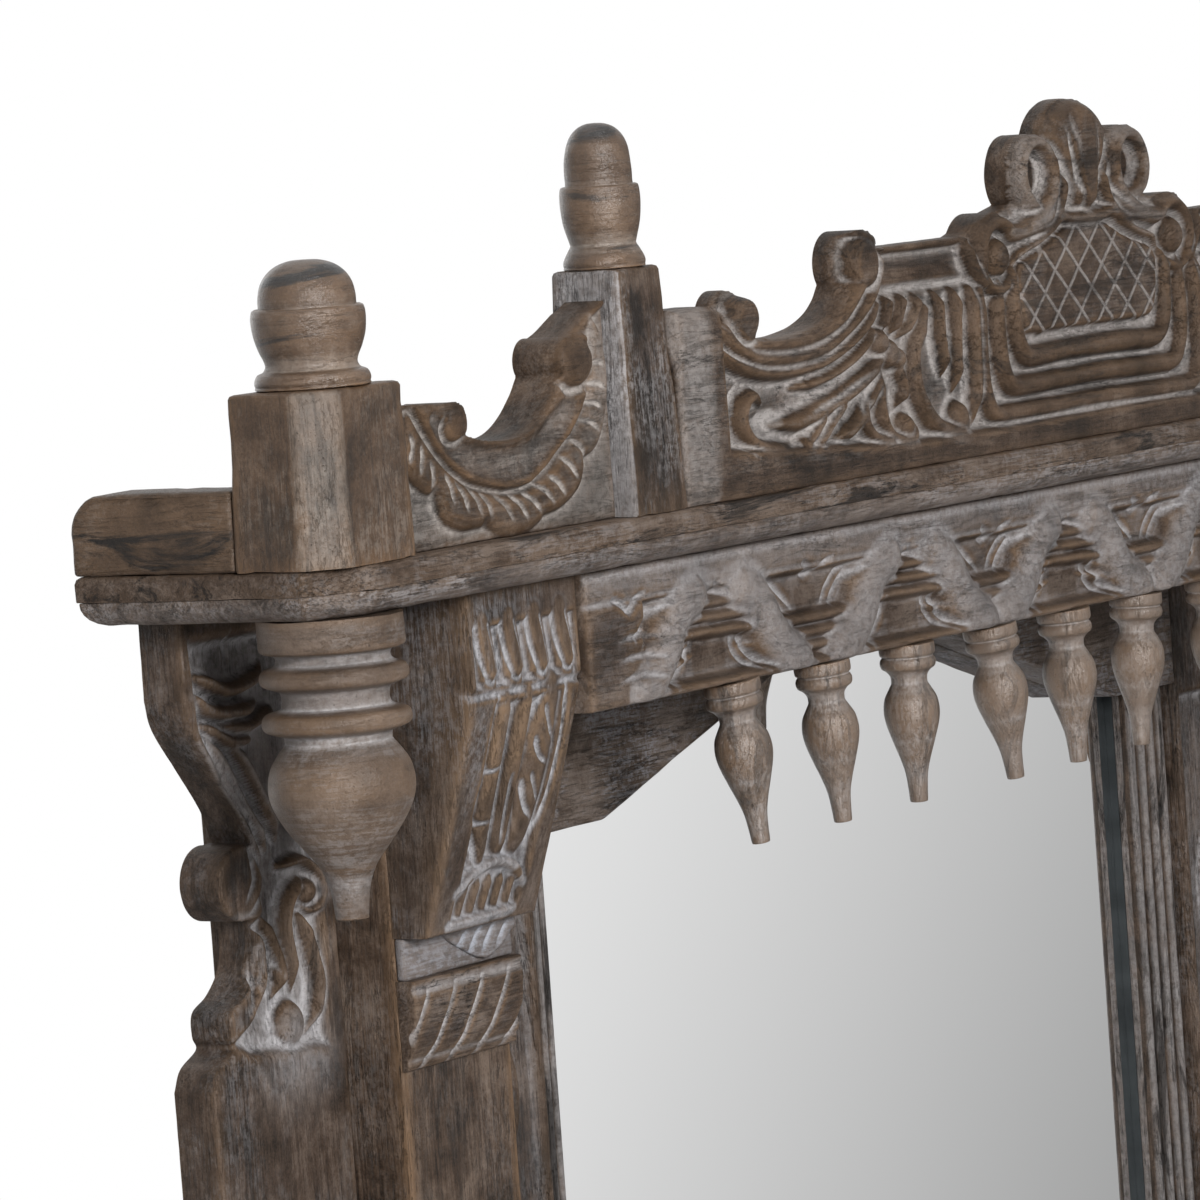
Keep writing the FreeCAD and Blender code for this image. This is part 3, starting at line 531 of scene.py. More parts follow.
def carved(relief, shape, face, back, ease=1.5, edge_wear=0.8, soften=0.6, cuts=0.8, steep_shade=0.3, rise=0.0):
    """A carved board: the relief in front, cut to a silhouette, with plain sides and a flat back."""
    keep = (shape[:-1, :-1] + shape[1:, :-1] + shape[:-1, 1:] + shape[1:, 1:]) < 0
    rows, cols = np.nonzero(keep)
    wide = shape.shape[1]
    quads = np.column_stack([rows * wide + cols, rows * wide + cols + 1,
                             (rows + 1) * wide + cols + 1, (rows + 1) * wide + cols])
    gap = np.clip(-shape, 0, None)
    round_off = ease - np.sqrt(np.clip(ease ** 2 - (ease - gap) ** 2, 0, None))
    heights = blurred(relief.up, soften / relief.step) - np.where(gap < ease, round_off, 0)
    clear = np.clip((gap - 1) / 4, 0, 1)
    hollow = (blurred(heights, 1.8 / relief.step) - heights) * clear
    broad = (blurred(heights, 6.0 / relief.step) - heights) * clear
    lime = cuts * (np.clip(hollow / 0.9, 0, 0.65) + np.clip(broad / 5.0, 0, 0.25))
    steep = np.hypot(*np.gradient(heights, relief.z, relief.x)) * clear
    # Steep faces of the relief are made darker in colour: painted shade along the walls of the carving,
    # carried as negative limewash.
    lime = lime + blurred(relief.pale, 0.7 / relief.step) - steep_shade * np.clip((steep - 0.6) / 1.2, 0, 1)
    wear = np.clip(-hollow / 0.5, 0, 1) + edge_wear * np.exp(-gap / 2.5)
    edge_starts = np.concatenate([quads[:, i] for i in range(4)])
    edge_stops = np.concatenate([quads[:, (i + 1) % 4] for i in range(4)])
    forward = set(zip(edge_starts.tolist(), edge_stops.tolist()))
    onward = {a: b for a, b in forward if (b, a) not in forward}
    slope_z, slope_x = np.gradient(shape, relief.z, relief.x)
    px, pz = relief.gx.copy(), relief.gz.copy()
    rim = np.array(sorted(onward))
    where = np.unravel_index(rim, shape.shape)
    pull = shape[where] / np.maximum(slope_x[where] ** 2 + slope_z[where] ** 2, 0.05)
    px[where] -= pull * slope_x[where]
    pz[where] -= pull * slope_z[where]
    front = face(px, pz) if callable(face) else np.full(px.shape, float(face))
    used = np.unique(quads)
    index = np.full(shape.size, -1)
    index[used] = np.arange(len(used))
    points = np.column_stack([px.ravel(), (front - heights).ravel(), pz.ravel()])[used]
    lime, wear = lime.ravel()[used], wear.ravel()[used]
    faces = [tuple(quad) for quad in index[quads].tolist()]
    parts = [points]
    limes, wears = [lime], [wear]
    total = len(points)
    left_to_do = dict(onward)
    while left_to_do:
        start = next(iter(left_to_do))
        loop = [start]
        while left_to_do[loop[-1]] != start:
            loop.append(left_to_do[loop[-1]])
        for point in loop:
            del left_to_do[point]
        loop = index[np.array(loop)]
        ring = points[loop]
        size = len(loop)
        before = loop
        for share, shabby in ((0.12, 0.5), (0.5, 0.0), (0.92, 0.2), (1.0, 0.6)):
            layer = ring.copy()
            layer[:, 1] += (back - ring[:, 1]) * share
            parts.append(layer)
            limes.append(np.zeros(size))
            wears.append(np.full(size, shabby * edge_wear))
            after = np.arange(total, total + size)
            faces += [(before[i], after[i], after[(i + 1) % size], before[(i + 1) % size])
                      for i in range(size)]
            before, total = after, total + size
        faces.append(tuple(before.tolist()))
    solid = np.vstack(parts)
    solid[:, 2] += rise
    return solid, faces, np.concatenate(limes), np.concatenate(wears)


stile_wood = limewashed("stile_wood", "z", haze=0.2, stain=0.6, warm=0.25, lift=-0.02, cool=0.3,
    shift=(0, 0.3, 0.2))
stile_low, stile_high = span("stile_left")
pilaster_in = span("pilaster_left")[1][0]
head_level = span("head_board_left")[0][2]
stile_corners = rectangle(stile_low, (pilaster_in, stile_high[1]))
stile_shape = moulded(stile_corners, length_levels(0, stile_high[2]))
vine_bend, vine_deep, vine_foot = 92.0, 5.0, sill_high[2]
vine = Relief(pilaster_in, stile_high[0], vine_foot, head_level, 1.5,
              plain=[*np.linspace(0, vine_foot - 5, 12), *np.linspace(head_level + 5, stile_high[2], 10)])
vine_middle = (pilaster_in + stile_high[0]) / 2 + 20
vine.sink(vine.inside(rectangle((pilaster_in + 16, vine_foot + 14), (stile_high[0] - 4, head_level - 6))),
          vine_deep, pale=0.12)
vine_steps = np.arange(vine_foot + 24, head_level - 10, vine_bend / 6)
vine.strand([(vine_middle + 20 * math.sin(math.pi * z / vine_bend), z) for z in vine_steps], 9, 5.5,
    -vine_deep)
first_bend = math.ceil(vine_foot / vine_bend)
for bend in range(first_bend, first_bend + int((head_level - vine_foot) / vine_bend) + 1):
    middle, hand = (bend - 0.5) * vine_bend, -1 if bend % 2 else 1
    if middle > head_level - 40:
        continue
    leaf_x, leaf_turn = vine_middle + hand * 12, 90 + 90 * hand
    vine.strand(coil(leaf_x, middle, leaf_turn, leaf_turn + 520, 24, 5), 7, 4.5, -vine_deep, (1, 0.6))
    vine.boss(leaf_x, middle, 6, 5, -vine_deep)
    for lobe in range(4):
        turn = math.radians(90 - hand * (20 + 32 * lobe))
        tip = (leaf_x - hand * 30 * abs(math.cos(turn)),
            middle + 30 * math.sin(turn) * (1 if lobe < 2 else -1))
        lobe_line = [(leaf_x - hand * 18, middle + (lobe - 1.5) * 10), tip]
        vine.strand(lobe_line, 9, 4.0, -vine_deep, (0.9, 0.2))
        vine.cut(lobe_line, 3, 1.6, pale=0.6)
vine_points, vine_faces, vine_wash_and_shade, vine_wear = carved(vine, vine.board(), stile_low[1], stile_high[1])
for side, limed in zip(SIDES, (0.3, 0.9)):
    add_side(side, "stile", stile_shape, stile_wood, seed=8)
    add_side(side, "stile_vine", (vine_points, vine_faces, vine_wash_and_shade * limed, vine_wear), stile_wood, False,
             uneven=0.1, chips=0.2, seed=9, crisp=80)

# Reeded mouldings: long sticks worked with four reeds, planted round the opening to hold the glass, grey on
# the reeds and darkened in the hollows as painted shade, with a dark strip where the lip meets the glass that
# is painted shade for the shadowed gap and its reflection.
reed_wood = limewashed("reed_wood", "z", haze=0.15, stain=0.8, warm=0.2, lift=-0.08, streak=0.8, cool=0.2,
    shift=(0.1, 0, 0.5))
reed_low, reed_high = span("reeded_moulding_left")
reed_count, reed_hollow, reed_points, reed_lean = 4, 3.6, 6, 6.5
reed_across = reed_high[0] - reed_low[0]
glass_low = span("mirror_glass")[0]
reed_corners = []
for reed in range(reed_count):
    for point in range(reed_points):
        turn = math.radians(-60 + 120 * point / reed_points)
        rise = (math.cos(turn) - 0.5) / 0.5
        way = (reed + 0.5 + math.sin(turn) / math.sqrt(3)) / reed_count
        reed_corners.append((reed_low[0] + reed_across * way,
                             reed_low[1] + reed_hollow * (1 - rise) - reed_lean * (1 - way)))
reed_corners += [(reed_high[0], reed_low[1] + reed_hollow), (reed_high[0], glass_low[1]),
    (glass_low[0] - 1, glass_low[1]), (glass_low[0] - 1, reed_high[1]), (reed_low[0], reed_high[1])]
reed_points_at, reed_faces, _, reed_wear = moulded(reed_corners, length_levels(reed_low[2], reed_high[2]),
    "z", 0.8)
reed_sink = (reed_points_at[:, 1] - reed_low[1]
             + reed_lean * (reed_high[0] - reed_points_at[:, 0]) / reed_across)
reed_crown = np.clip(1 - reed_sink / reed_hollow, 0, 1)
reed_wash_and_shade = 0.5 * reed_crown ** 1.5 + 0.25 * (reed_points_at[:, 0] > reed_high[0] - 0.5)
# The hollows between the reeds are made darker in colour: painted shade in place of the shading the light
# does not give.
reed_wash_and_shade -= 0.6 * (1 - reed_crown) ** 2 * (reed_sink < reed_hollow * 1.1)
reed_shape = reed_points_at, reed_faces, reed_wash_and_shade, reed_wear


def clouded(name, low, high, scale, detail, rough, uneven=0.0, metal=0.0, shine=0.5):
    """A plain material that drifts between two colours, and its roughness along with them."""
    material = bpy.data.materials.new(name)
    material.use_nodes = True
    tree = material.node_tree
    shader = tree.nodes["Principled BSDF"]
    shader.inputs["Metallic"].default_value = metal
    shader.inputs["Specular IOR Level"].default_value = shine
    here = Value(tree, tree.nodes.new("ShaderNodeTexCoord").outputs["Object"])
    cloud = here.node("ShaderNodeTexNoise", {}, {"Vector": here, "Scale": scale, "Detail": detail})
    tree.links.new(cloud.blend(low, high).socket, shader.inputs["Base Color"])
    tree.links.new((rough + uneven * cloud).socket, shader.inputs["Roughness"])
    return material


# A thin dark strip on the glass at the foot of the lip: painted shade for the shadowed gap there and its
# reflection.
strip_tall, strip_thick, strip_sunk = 4.5, 0.7, 0.3
gap_shadow_paint = clouded("painted_shadow_strip", (0.006, 0.007, 0.008, 1), (0.040, 0.046, 0.048, 1), 60.0, 5.0, 0.7,
    shine=0.1)
strip_corners = rectangle((reed_high[0] - strip_sunk, glass_low[1] - strip_tall),
                          (reed_high[0] + strip_thick, glass_low[1]))
lip_shadow_shape = moulded(strip_corners, length_levels(reed_low[2], reed_high[2], 0.2), "z", 0.1)
for side in SIDES:
    add_side(side, "reeded_moulding", reed_shape, reed_wood, uneven=0.1, chips=0.2, seed=11)
    add_side(side, "glazing_strip", lip_shadow_shape, gap_shadow_paint, False, uneven=0, chips=0, seed=12)

# Mirror glass and its backing: a silvered sheet of float glass with a plain board behind it,
# set in the rebate of the mouldings.


def dress(node, material):
    """Give a solid that is shown as it is its material."""
    node.data.materials.clear()
    node.data.materials.append(material)


mirror = clouded("silvered_glass", (0.87, 0.875, 0.875, 1), (0.9, 0.9, 0.9, 1), 3.0, 2.0, 0.006, 0.01,
    metal=1.0)
dress(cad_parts["mirror_glass"], mirror)
backing_wood = limewashed("backing_wood", "z", haze=0.1, stain=0.2, warm=0.2, shift=(0.7, 0, 0))
dress(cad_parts["backing_board"], backing_wood)

# Head boards: two raking boards under the ledge that meet at the peak of the opening,
# dark and streaked, their lower edges eased.
head_wood = limewashed("head_wood", "x", haze=0.55, stain=0.5, warm=0.3, lift=0.04, cool=0.8,
    shift=(0, 0.2, 0.9))
head_low, head_high = span("head_board_left")
head_foot, head_peak = 34.0, head_high[2] - 56.0
head_shoulder = -(stile_in - reed_across) + head_foot
head_corners = [(head_low[0], head_low[2]), (head_shoulder, head_low[2]), (0, head_peak), (0, head_high[2]),
                (head_low[0], head_high[2])]
add_pair("head_board", moulded(head_corners, length_levels(head_low[1], head_high[1], 1.5, 8), "y"),
    head_wood, seed=13)

# Pilasters: plain square posts in front of the stiles, their arrises rubbed to bare wood.
pilaster_wood = limewashed("pilaster_wood", "z", haze=0.15, stain=0.35, warm=0.7, shift=(0.3, 0.3, 0))
pilaster_low, pilaster_high = span("pilaster_left")
add_pair("pilaster", moulded(rectangle(pilaster_low, pilaster_high),
                             length_levels(pilaster_low[2], pilaster_high[2])), pilaster_wood, seed=15)

# Wings: boards outside the pilasters with a swept edge and a rolled scroll under the ledge, carved with long
# leaves that run down to a small volute and a boss, plain below. Heights are measured down from the ledge.
wing_wood = limewashed("wing_wood", "z", haze=0.25, stain=0.5, lift=-0.02, streak=0.8, cool=0.3,
    shift=(0.9, 0, 0.1))
wing_low, wing_high = span("wing_left")
ledge_foot = wing_high[2]
wing_sweep, wing_top, roll_radius, roll_drop, foot_drop, carved_drop = 40.0, 35.0, 16.5, 118.0, 205.0, 240.0
wing_deep = 6.0
waist = wing_low[0] + wing_sweep
roll_x = waist - roll_radius / 2
wing_edge = [(wing_high[0], 0), (wing_low[0], 0)]
wing_edge += list(smooth([(wing_low[0], -wing_top), (wing_low[0] + 4, -48), (wing_low[0] + 20, -68),
                          (wing_low[0] + 34, -86), (waist + 1, -roll_drop + roll_radius)]))
wing_edge += list(coil(roll_x, -roll_drop, 80, 275, roll_radius, roll_radius))
wing_edge += list(smooth([(waist + 1, -roll_drop - roll_radius), (waist + 1, -146), (waist - 3, -158),
    (waist - 12, -167), (waist - 23, -173), (waist - 24, -183), (waist - 22, -189), (waist - 35, -196),
    (wing_low[0], -foot_drop)]))
wing_edge += [(wing_low[0], -ledge_foot), (wing_high[0], -ledge_foot)]
wing = Relief(wing_low[0] - 1, wing_high[0], -carved_drop, 0, 0.9,
              plain=np.linspace(-ledge_foot, -carved_drop - 6, 45))
wing_shape = np.minimum(wing.inside(wing_edge), wing.disc(roll_x, -roll_drop, roll_radius))
wing.sink(wing.inside([(-626, -8), (-622, -50), (-598, -90), (-585, -105), (-586, -132), (-596, -136),
    (-600, -178), (-618, -186), (-600, -196), (-540, -200), (-536, -8)]), wing_deep, 7, pale=0.25)
for leaf_line, leaf_wide, leaf_pale in (
        ([(-622, -56), (-612, -70), (-599, -86), (-590, -98), (-585, -110), (-586, -121), (-594, -129),
        (-607, -133)], 9, 0.36),
        ([(-613, -54), (-601, -70), (-591, -85), (-582, -96), (-571, -107)], 9, 0.4),
        ([(-596, -58), (-588, -66), (-579, -79), (-571, -92), (-563, -104)], 8, 0.34),
        ([(-615, -27), (-595, -34), (-575, -31), (-565, -26)], 8, 0.1),
        ([(-624, -33), (-608, -42), (-585, -44), (-571, -42)], 8, 0.15),
        ([(-600, -50), (-582, -51.5), (-571, -48), (-559, -46)], 7, 0.1),
        ([(-614, -48), (-597, -56), (-577, -57)], 7, 0.15),
        ([(-564, -115), (-550, -114), (-540, -121), (-537, -130), (-544, -137), (-552, -134)], 6, 0.15),
        ([(-551, -123), (-562, -131), (-566, -141), (-564, -154), (-560, -170)], 8, 0.0),
        ([(-552, -139), (-547, -156), (-544, -169), (-548, -182), (-555, -190)], 8, 0.05),
        ([(-583, -136), (-576, -150), (-572, -162), (-575, -171)], 10, 0.0),
        ([(-593, -137), (-587, -149), (-588, -163), (-597, -174), (-609, -184)], 8, 0.05)):
    wing.strand(leaf_line, leaf_wide, 7.0, -wing_deep, (0.6, 0.3), leaf_pale)
wing.boss(-546, -128.5, 6.5, 6, -wing_deep)
wing.boss(-567, -184, 11, 7, -wing_deep)
wing.boss(roll_x, -roll_drop, roll_radius - 3, 2.5, -2.5)
wing.up *= 1.25
wing.soften(0.5)
wing.pale += 0.12 * np.clip((wing.gz + 75) / 30, 0, 1) * (wing.up < -0.2)
wing.up *= np.clip((wing.gz + 212) / 34, 0, 1) ** 0.6
wing.pale += 0.45 * np.exp(-((wing.gx + 566) / 26) ** 2 - ((wing.gz + 194) / 20) ** 2)
wing.cut(coil(roll_x, -roll_drop, -100, 80, roll_radius - 1.5, roll_radius - 1.5), 3.5, 2.2, pale=0.5)
for leaf_line in (
        [(-579, -90), (-569, -100), (-564, -106)], [(-586, -139), (-579, -151), (-573, -163)],
        [(-593, -8), (-589, -18), (-590, -29)], [(-593, -99), (-590, -112), (-590, -119), (-597, -127)],
        [(-560, -137), (-557, -153), (-557, -172)], [(-618, -60), (-605, -78), (-596, -92)],
        [(-590, -143), (-587, -155), (-592, -168)], [(-608, -62), (-597, -77), (-587, -91)]):
    wing.cut(leaf_line, 2.8, 2.4, pale=0.5)
add_pair("wing", carved(wing, wing_shape, wing_low[1], wing_high[1], cuts=0.75, rise=ledge_foot), wing_wood,
         chips=0.3, seed=17, crisp=80)

# Neck blocks and capitals: a pale plain block on each pilaster with a swelling capital under it,
# cut with slanting S-shaped gouges.
neck_wood = limewashed("neck_wood", "x", haze=0.2, stain=0.15, warm=0.2, lift=0.12, streak=0.25, wash=0.45,
    cool=0.8, shift=(0.2, 0, 0.7))
capital_wood = limewashed("capital_wood", "x", haze=0.15, stain=0.25, warm=0.6, cool=0.2, shift=(0.6, 0, 0.7))
capital_low, capital_high = span("capital_left")
capital = Relief(capital_low[0], capital_high[0], capital_low[2], capital_high[2], 0.7)
capital_tall = capital_high[2] - capital_low[2]
gouge_pitch = 21.5
for gouge in range(-1, 6):
    at = capital_low[0] + gouge_pitch * gouge + 16
    gouge_line = ((17, 4), (12, 13), (7, 22), (3, 30), (-4, 37), (-12, 42))
    capital.cut([(at + over, capital_high[2] - down) for over, down in gouge_line], 3.2, 2.4, (0.5, 0.1),
        pale=0.6)
capital.cut([(capital_low[0], capital_low[2] + 4.5), (capital_high[0], capital_low[2] + 4.5)], 2.5, 1.0,
    (1, 1), pale=0.2)
capital.cut([(capital_low[0], capital_high[2] - 4), (capital_high[0], capital_high[2] - 4)], 6.0, 1.2,
    (1, 1), pale=0.4)


def capital_face(x, z):
    """The swelling front of a capital: fullest under its top, drawn in at its foot."""
    rise = np.clip((z - capital_low[2]) / capital_tall, 0, 1)
    return capital_high[1] - (capital_high[1] - capital_low[1]) * (0.32 + 0.68 * np.sin(rise * 1.9) ** 0.9)


capital_shape = carved(capital, capital.board(), capital_face, capital_high[1], 1.0, cuts=0.5)
for side in SIDES:
    plank(f"neck_block_{side}", neck_wood, "x", seed=19)
    add_side(side, "capital", capital_shape, capital_wood, uneven=0.15, seed=20, crisp=80)

# Corbels: brackets that carry the ledge. The upright head has four tongues under a plain fillet; the raking
# front is carved with long notched leaves, an arched band with small flutes and a lip, and below the lip the
# carving hangs over the neck block as a tongue.
corbel_wood = limewashed("corbel_wood", "z", haze=0.3, stain=0.3, warm=1.0, streak=0.7, cool=0.45,
    shift=(0.5, 0.5, 0))
corbel_low, corbel_high = span("corbel_left")
corbel_left, corbel_right = corbel_low[0], corbel_high[0]
block_foot, rake_foot = -44.0, corbel_low[2] - ledge_foot
corbel_foot_out = 19.0
corbel = Relief(corbel_left, corbel_right, rake_foot, 0, 0.7)
tongue_pitch, tongue_lean, tongue_deep, leaf_deep = 20.5, 2.5, 3.5, 4.0
corbel.sink(corbel.inside(rectangle((corbel_left + 2, -45), (corbel_right - 2, -16))), tongue_deep, 2)
for tongue in range(4):
    at = corbel_left + 12 + tongue_pitch * tongue
    corbel.strand([(at - tongue_lean, -13), (at, -26), (at + tongue_lean, -40)], 18, 4.5, -tongue_deep,
        (1, 0.8))
    loop = [(at - tongue_lean - 5.5, -16), (at - 4.8, -30), (at + tongue_lean - 3, -40),
        (at + tongue_lean + 2, -41.5), (at + tongue_lean + 5, -37), (at + 5.5, -27),
        (at + 4 - tongue_lean, -16)]
    corbel.cut(loop, 2.6, 1.8, (0.8, 0.8), pale=0.6)
corbel.cut([(corbel_left, -46.5), (corbel_right, -46.5)], 5, 2.0, (1, 1), pale=0.5)
corbel.sink(corbel.inside([(-511, -50), (-458, -50), (-457, -134), (-513, -134)]), leaf_deep, 3)
for leaf_line, leaf_wide in (
        ([(-502, -50), (-502, -80), (-502, -104), (-500, -126)], 13),
        ([(-485, -48), (-485, -80), (-486, -124)], 11),
        ([(-467, -48), (-466, -80), (-470, -106), (-476, -122)], 21)):
    corbel.strand(leaf_line, leaf_wide, 5.0, -leaf_deep, (0.8, 0.6))
for notch_line, notch_wide in (
        ([(-508, -48), (-509, -62), (-508, -80), (-498, -80)], 4.0),
        ([(-509, -84), (-511, -100), (-507, -104), (-499, -104)], 4.0),
        ([(-510, -106), (-506, -114), (-502, -124)], 4.0), ([(-492, -50), (-493, -80), (-492, -122)], 4.5),
        ([(-487, -84), (-487, -118)], 2.0), ([(-478, -70), (-476, -60), (-473, -50)], 4.5),
        ([(-470, -56), (-465, -64), (-460, -72)], 3.2), ([(-472, -70), (-468, -78), (-461, -83)], 3.6),
        ([(-471, -86), (-467, -93), (-462, -100)], 3.0), ([(-475, -89), (-472, -100), (-466, -107)], 4.2),
        ([(-455, -46), (-452, -70), (-454, -96), (-461, -120)], 4.0),
        ([(-479, -62), (-479, -90), (-480, -122)], 3.0)):
    corbel.cut(notch_line, notch_wide, 3.0, (0.5, 0.2), pale=0.5)
corbel.sink(corbel.inside(smooth(
    [(-515, -147), (-513, -133), (-500, -126), (-486, -123), (-471, -127), (-461, -134), (-462, -147)])),
    leaf_deep, 2.5)
corbel.strand([(-515, -135), (-502, -127), (-486, -123.5), (-471, -127), (-460, -136)], 6.5, 4.5, -3,
    (0.7, 0.7), pale=0.85)
for flute in range(5):
    at = -507 + 9.5 * flute
    corbel.strand([(at + 1.5, -131), (at, -139), (at - 1, -146)], 7.5, 3.5, -leaf_deep, (0.7, 0.9))
    corbel.cut([(at + 5, -132), (at + 4.5, -145)], 2.6, 1.5, pale=0.7)
corbel.strand([(-516, -148.5), (-490, -148), (-464, -147)], 6.0, 5.0, -3.5, (0.8, 0.8), pale=0.9)


def corbel_face(x, z):
    """The corbel's front: upright above, raking back below."""
    down = np.clip((block_foot - z) / (block_foot - rake_foot), 0, 1)
    foot = corbel_high[1] - corbel_foot_out
    return corbel_low[1] + (foot - corbel_low[1]) * down ** 1.05


corbel_shape = carved(corbel, corbel.board(), corbel_face, corbel_high[1], 1.6, cuts=0.75, rise=ledge_foot)
neck_low, neck_high = span("neck_block_left")
tongue_left, tongue_right = corbel_left + 26, corbel_right - 4
tongue = Relief(tongue_left, tongue_right, neck_low[2], neck_high[2], 0.8)
tongue_shape = tongue.inside(smooth([(tongue_left, neck_high[2] - 0.5), (tongue_right, neck_high[2] - 0.5),
    (tongue_right - 4, neck_low[2] + 8), (tongue_left + 34, neck_low[2] + 2),
    (tongue_left + 10, neck_low[2] + 12)], 5))
for stroke in range(4):
    at = tongue_left + 14 + 11 * stroke
    tongue.cut([(at + 8, neck_high[2] - 2), (at, neck_high[2] - 10), (at - 4, neck_low[2] + 5)], 3.2, 2.0,
        pale=0.6)
tongue_carved = carved(tongue, tongue_shape, neck_low[1] - 2.5, neck_low[1] + 1, cuts=0.5)
for side in SIDES:
    add_side(side, "corbel", corbel_shape, corbel_wood, chips=0.3, seed=22, crisp=80)
    add_side(side, "corbel_tongue", tongue_carved, neck_wood, False, uneven=0.1, seed=23, crisp=80)

# Ledge: a shelf board on a moulded board, with cut corners in front and ears at the ends, its front edges
# rubbed and its moulding run along the foot.
ledge_wood = limewashed("ledge_wood", "x", haze=0.3, stain=0.85, warm=0.4, lift=0.04, cool=0.35,
    shift=(0, 0, 0.35))
shelf_low, shelf_high = span("ledge_shelf")
bead_low, bead_high = span("ledge_bead")
ear_back = span("upstand_left")[1][1]
corner_x, corner_y = 32.0, 16.0
ledge_end, ledge_front, ledge_back = shelf_low[0], shelf_low[1], shelf_high[1]
ledge_corners = [(ledge_end + corner_x, ledge_front), (-ledge_end - corner_x, ledge_front),
    (-ledge_end, ledge_front + corner_y), (-ledge_end, ear_back), (-pilaster_low[0], ear_back),
    (-pilaster_low[0], ledge_back), (pilaster_low[0], ledge_back), (pilaster_low[0], ear_back),
    (ledge_end, ear_back), (ledge_end, ledge_front + corner_y)]
shelf_levels = [(shelf_low[2], 0.3), (shelf_low[2] + 0.5, 0), (shelf_high[2] - 3, 0),
    (shelf_high[2] - 1, 0.7), (shelf_high[2], 2.2)]
add_piece("ledge_shelf", *moulded(ledge_corners, shelf_levels, step=9), ledge_wood, ["ledge_shelf"],
    uneven=0.1, seed=25)
bead_levels = [(bead_low[2], 13.0), (bead_low[2] + 0.4, 9.4), (bead_low[2] + 1.6, 6.2),
    (bead_low[2] + 3.4, 3.8), (bead_low[2] + 5.6, 2.2), (bead_low[2] + 8, 1.2), (bead_high[2] - 0.8, 0.9),
    (bead_high[2], 1.1)]
bead_wood = limewashed("bead_wood", "x", haze=0.3, stain=0.5, warm=0.4, lift=0.04, wash=0.36, cool=0.3,
    shift=(0.4, 0.1, 0.75))
add_piece("ledge_bead", *moulded(ledge_corners, bead_levels, step=9), bead_wood, ["ledge_bead"], uneven=0.1,
    seed=26)

# Upstands: low boards on the ears behind the corner posts, rounded at the rear and stained by old damp.
upstand_wood = limewashed("upstand_wood", "y", haze=0.2, stain=0.95, warm=0.4, lift=-0.085, streak=0.35,
    polish=0.1, shift=(0.8, 0.1, 0))
upstand_low, upstand_high = span("upstand_left")
round_rear = 17.0
rear_y, rear_z = upstand_high[1] - round_rear, upstand_high[2] - round_rear
upstand_corners = [(upstand_low[1], upstand_low[2]), (upstand_high[1], upstand_low[2])]
upstand_corners += [(rear_y + round_rear * math.cos(turn), rear_z + round_rear * math.sin(turn))
                    for turn in np.radians(np.linspace(0, 90, 7))]
upstand_corners += [(upstand_low[1], upstand_high[2])]
upstand_shape = moulded(upstand_corners, length_levels(upstand_low[0], upstand_high[0], 2, 6), "x", 1.5, 8)
add_pair("upstand", upstand_shape, upstand_wood, chips=0.9, seed=28)

# Corner posts: five-sided blocks on the ledge with a broad cut outer edge, drawn in a little towards the top.
post_wood = limewashed("post_wood", "z", haze=0.25, stain=0.45, warm=0.6, lift=-0.045, streak=0.45,
    polish=0.14, cool=-0.4, shift=(0.15, 0.6, 0.2))
post_low, post_high = span("corner_post_left")
post_cut, post_draw = 14.0, 1.2
post_corners = [(post_low[0] + post_cut, post_low[1]), (post_high[0], post_low[1]),
    (post_high[0], post_high[1]), (post_low[0], post_high[1]), (post_low[0], post_low[1] + post_cut)]
post_tall = post_high[2] - post_low[2]


def drawn_levels(foot, tall, draw, rises, ease, last_ease):
    """Levels up a post that is drawn in towards its top, with its ends eased."""
    steps = [(0, 0.3), (1, 0), *((rise, 0) for rise in rises), (tall - 2, 0), (tall - 0.6, ease),
        (tall, last_ease)]
    return [(foot + rise, inset + draw * rise / tall) for rise, inset in steps]


post_levels = drawn_levels(post_low[2], post_tall, post_draw, (8, 20, 32, 44, 56, 66), 0.6, 2)
post_points, post_faces, post_wash_and_painted_sheen, post_wear = moulded(post_corners, post_levels, "z", 2.2, 7)
# The broad cut face gets limewash that also stands in for part of its sheen: partly limewash, partly painted
# sheen.
on_cut = post_points[:, 0] - post_low[0] + post_points[:, 1] - post_low[1] < post_cut + 4
post_wash_and_painted_sheen = np.maximum(post_wash_and_painted_sheen, 0.26 * on_cut)
post_wear = np.maximum(post_wear, 0.22)
add_pair("corner_post", (post_points, post_faces, post_wash_and_painted_sheen, post_wear), post_wood, chips=0.8, seed=30)

# Finials: turned knobs on the posts, each a ring, a swelling cup and a dome, with limewash in the grooves
# and the grain rubbed brown.
turned_wood = limewashed("turned_wood", "xy", haze=0.2, stain=0.8, warm=0.8, lift=0.005, streak=0.4,
    polish=0.35, cool=-0.45, shift=(0.25, 0.2, 0.6))


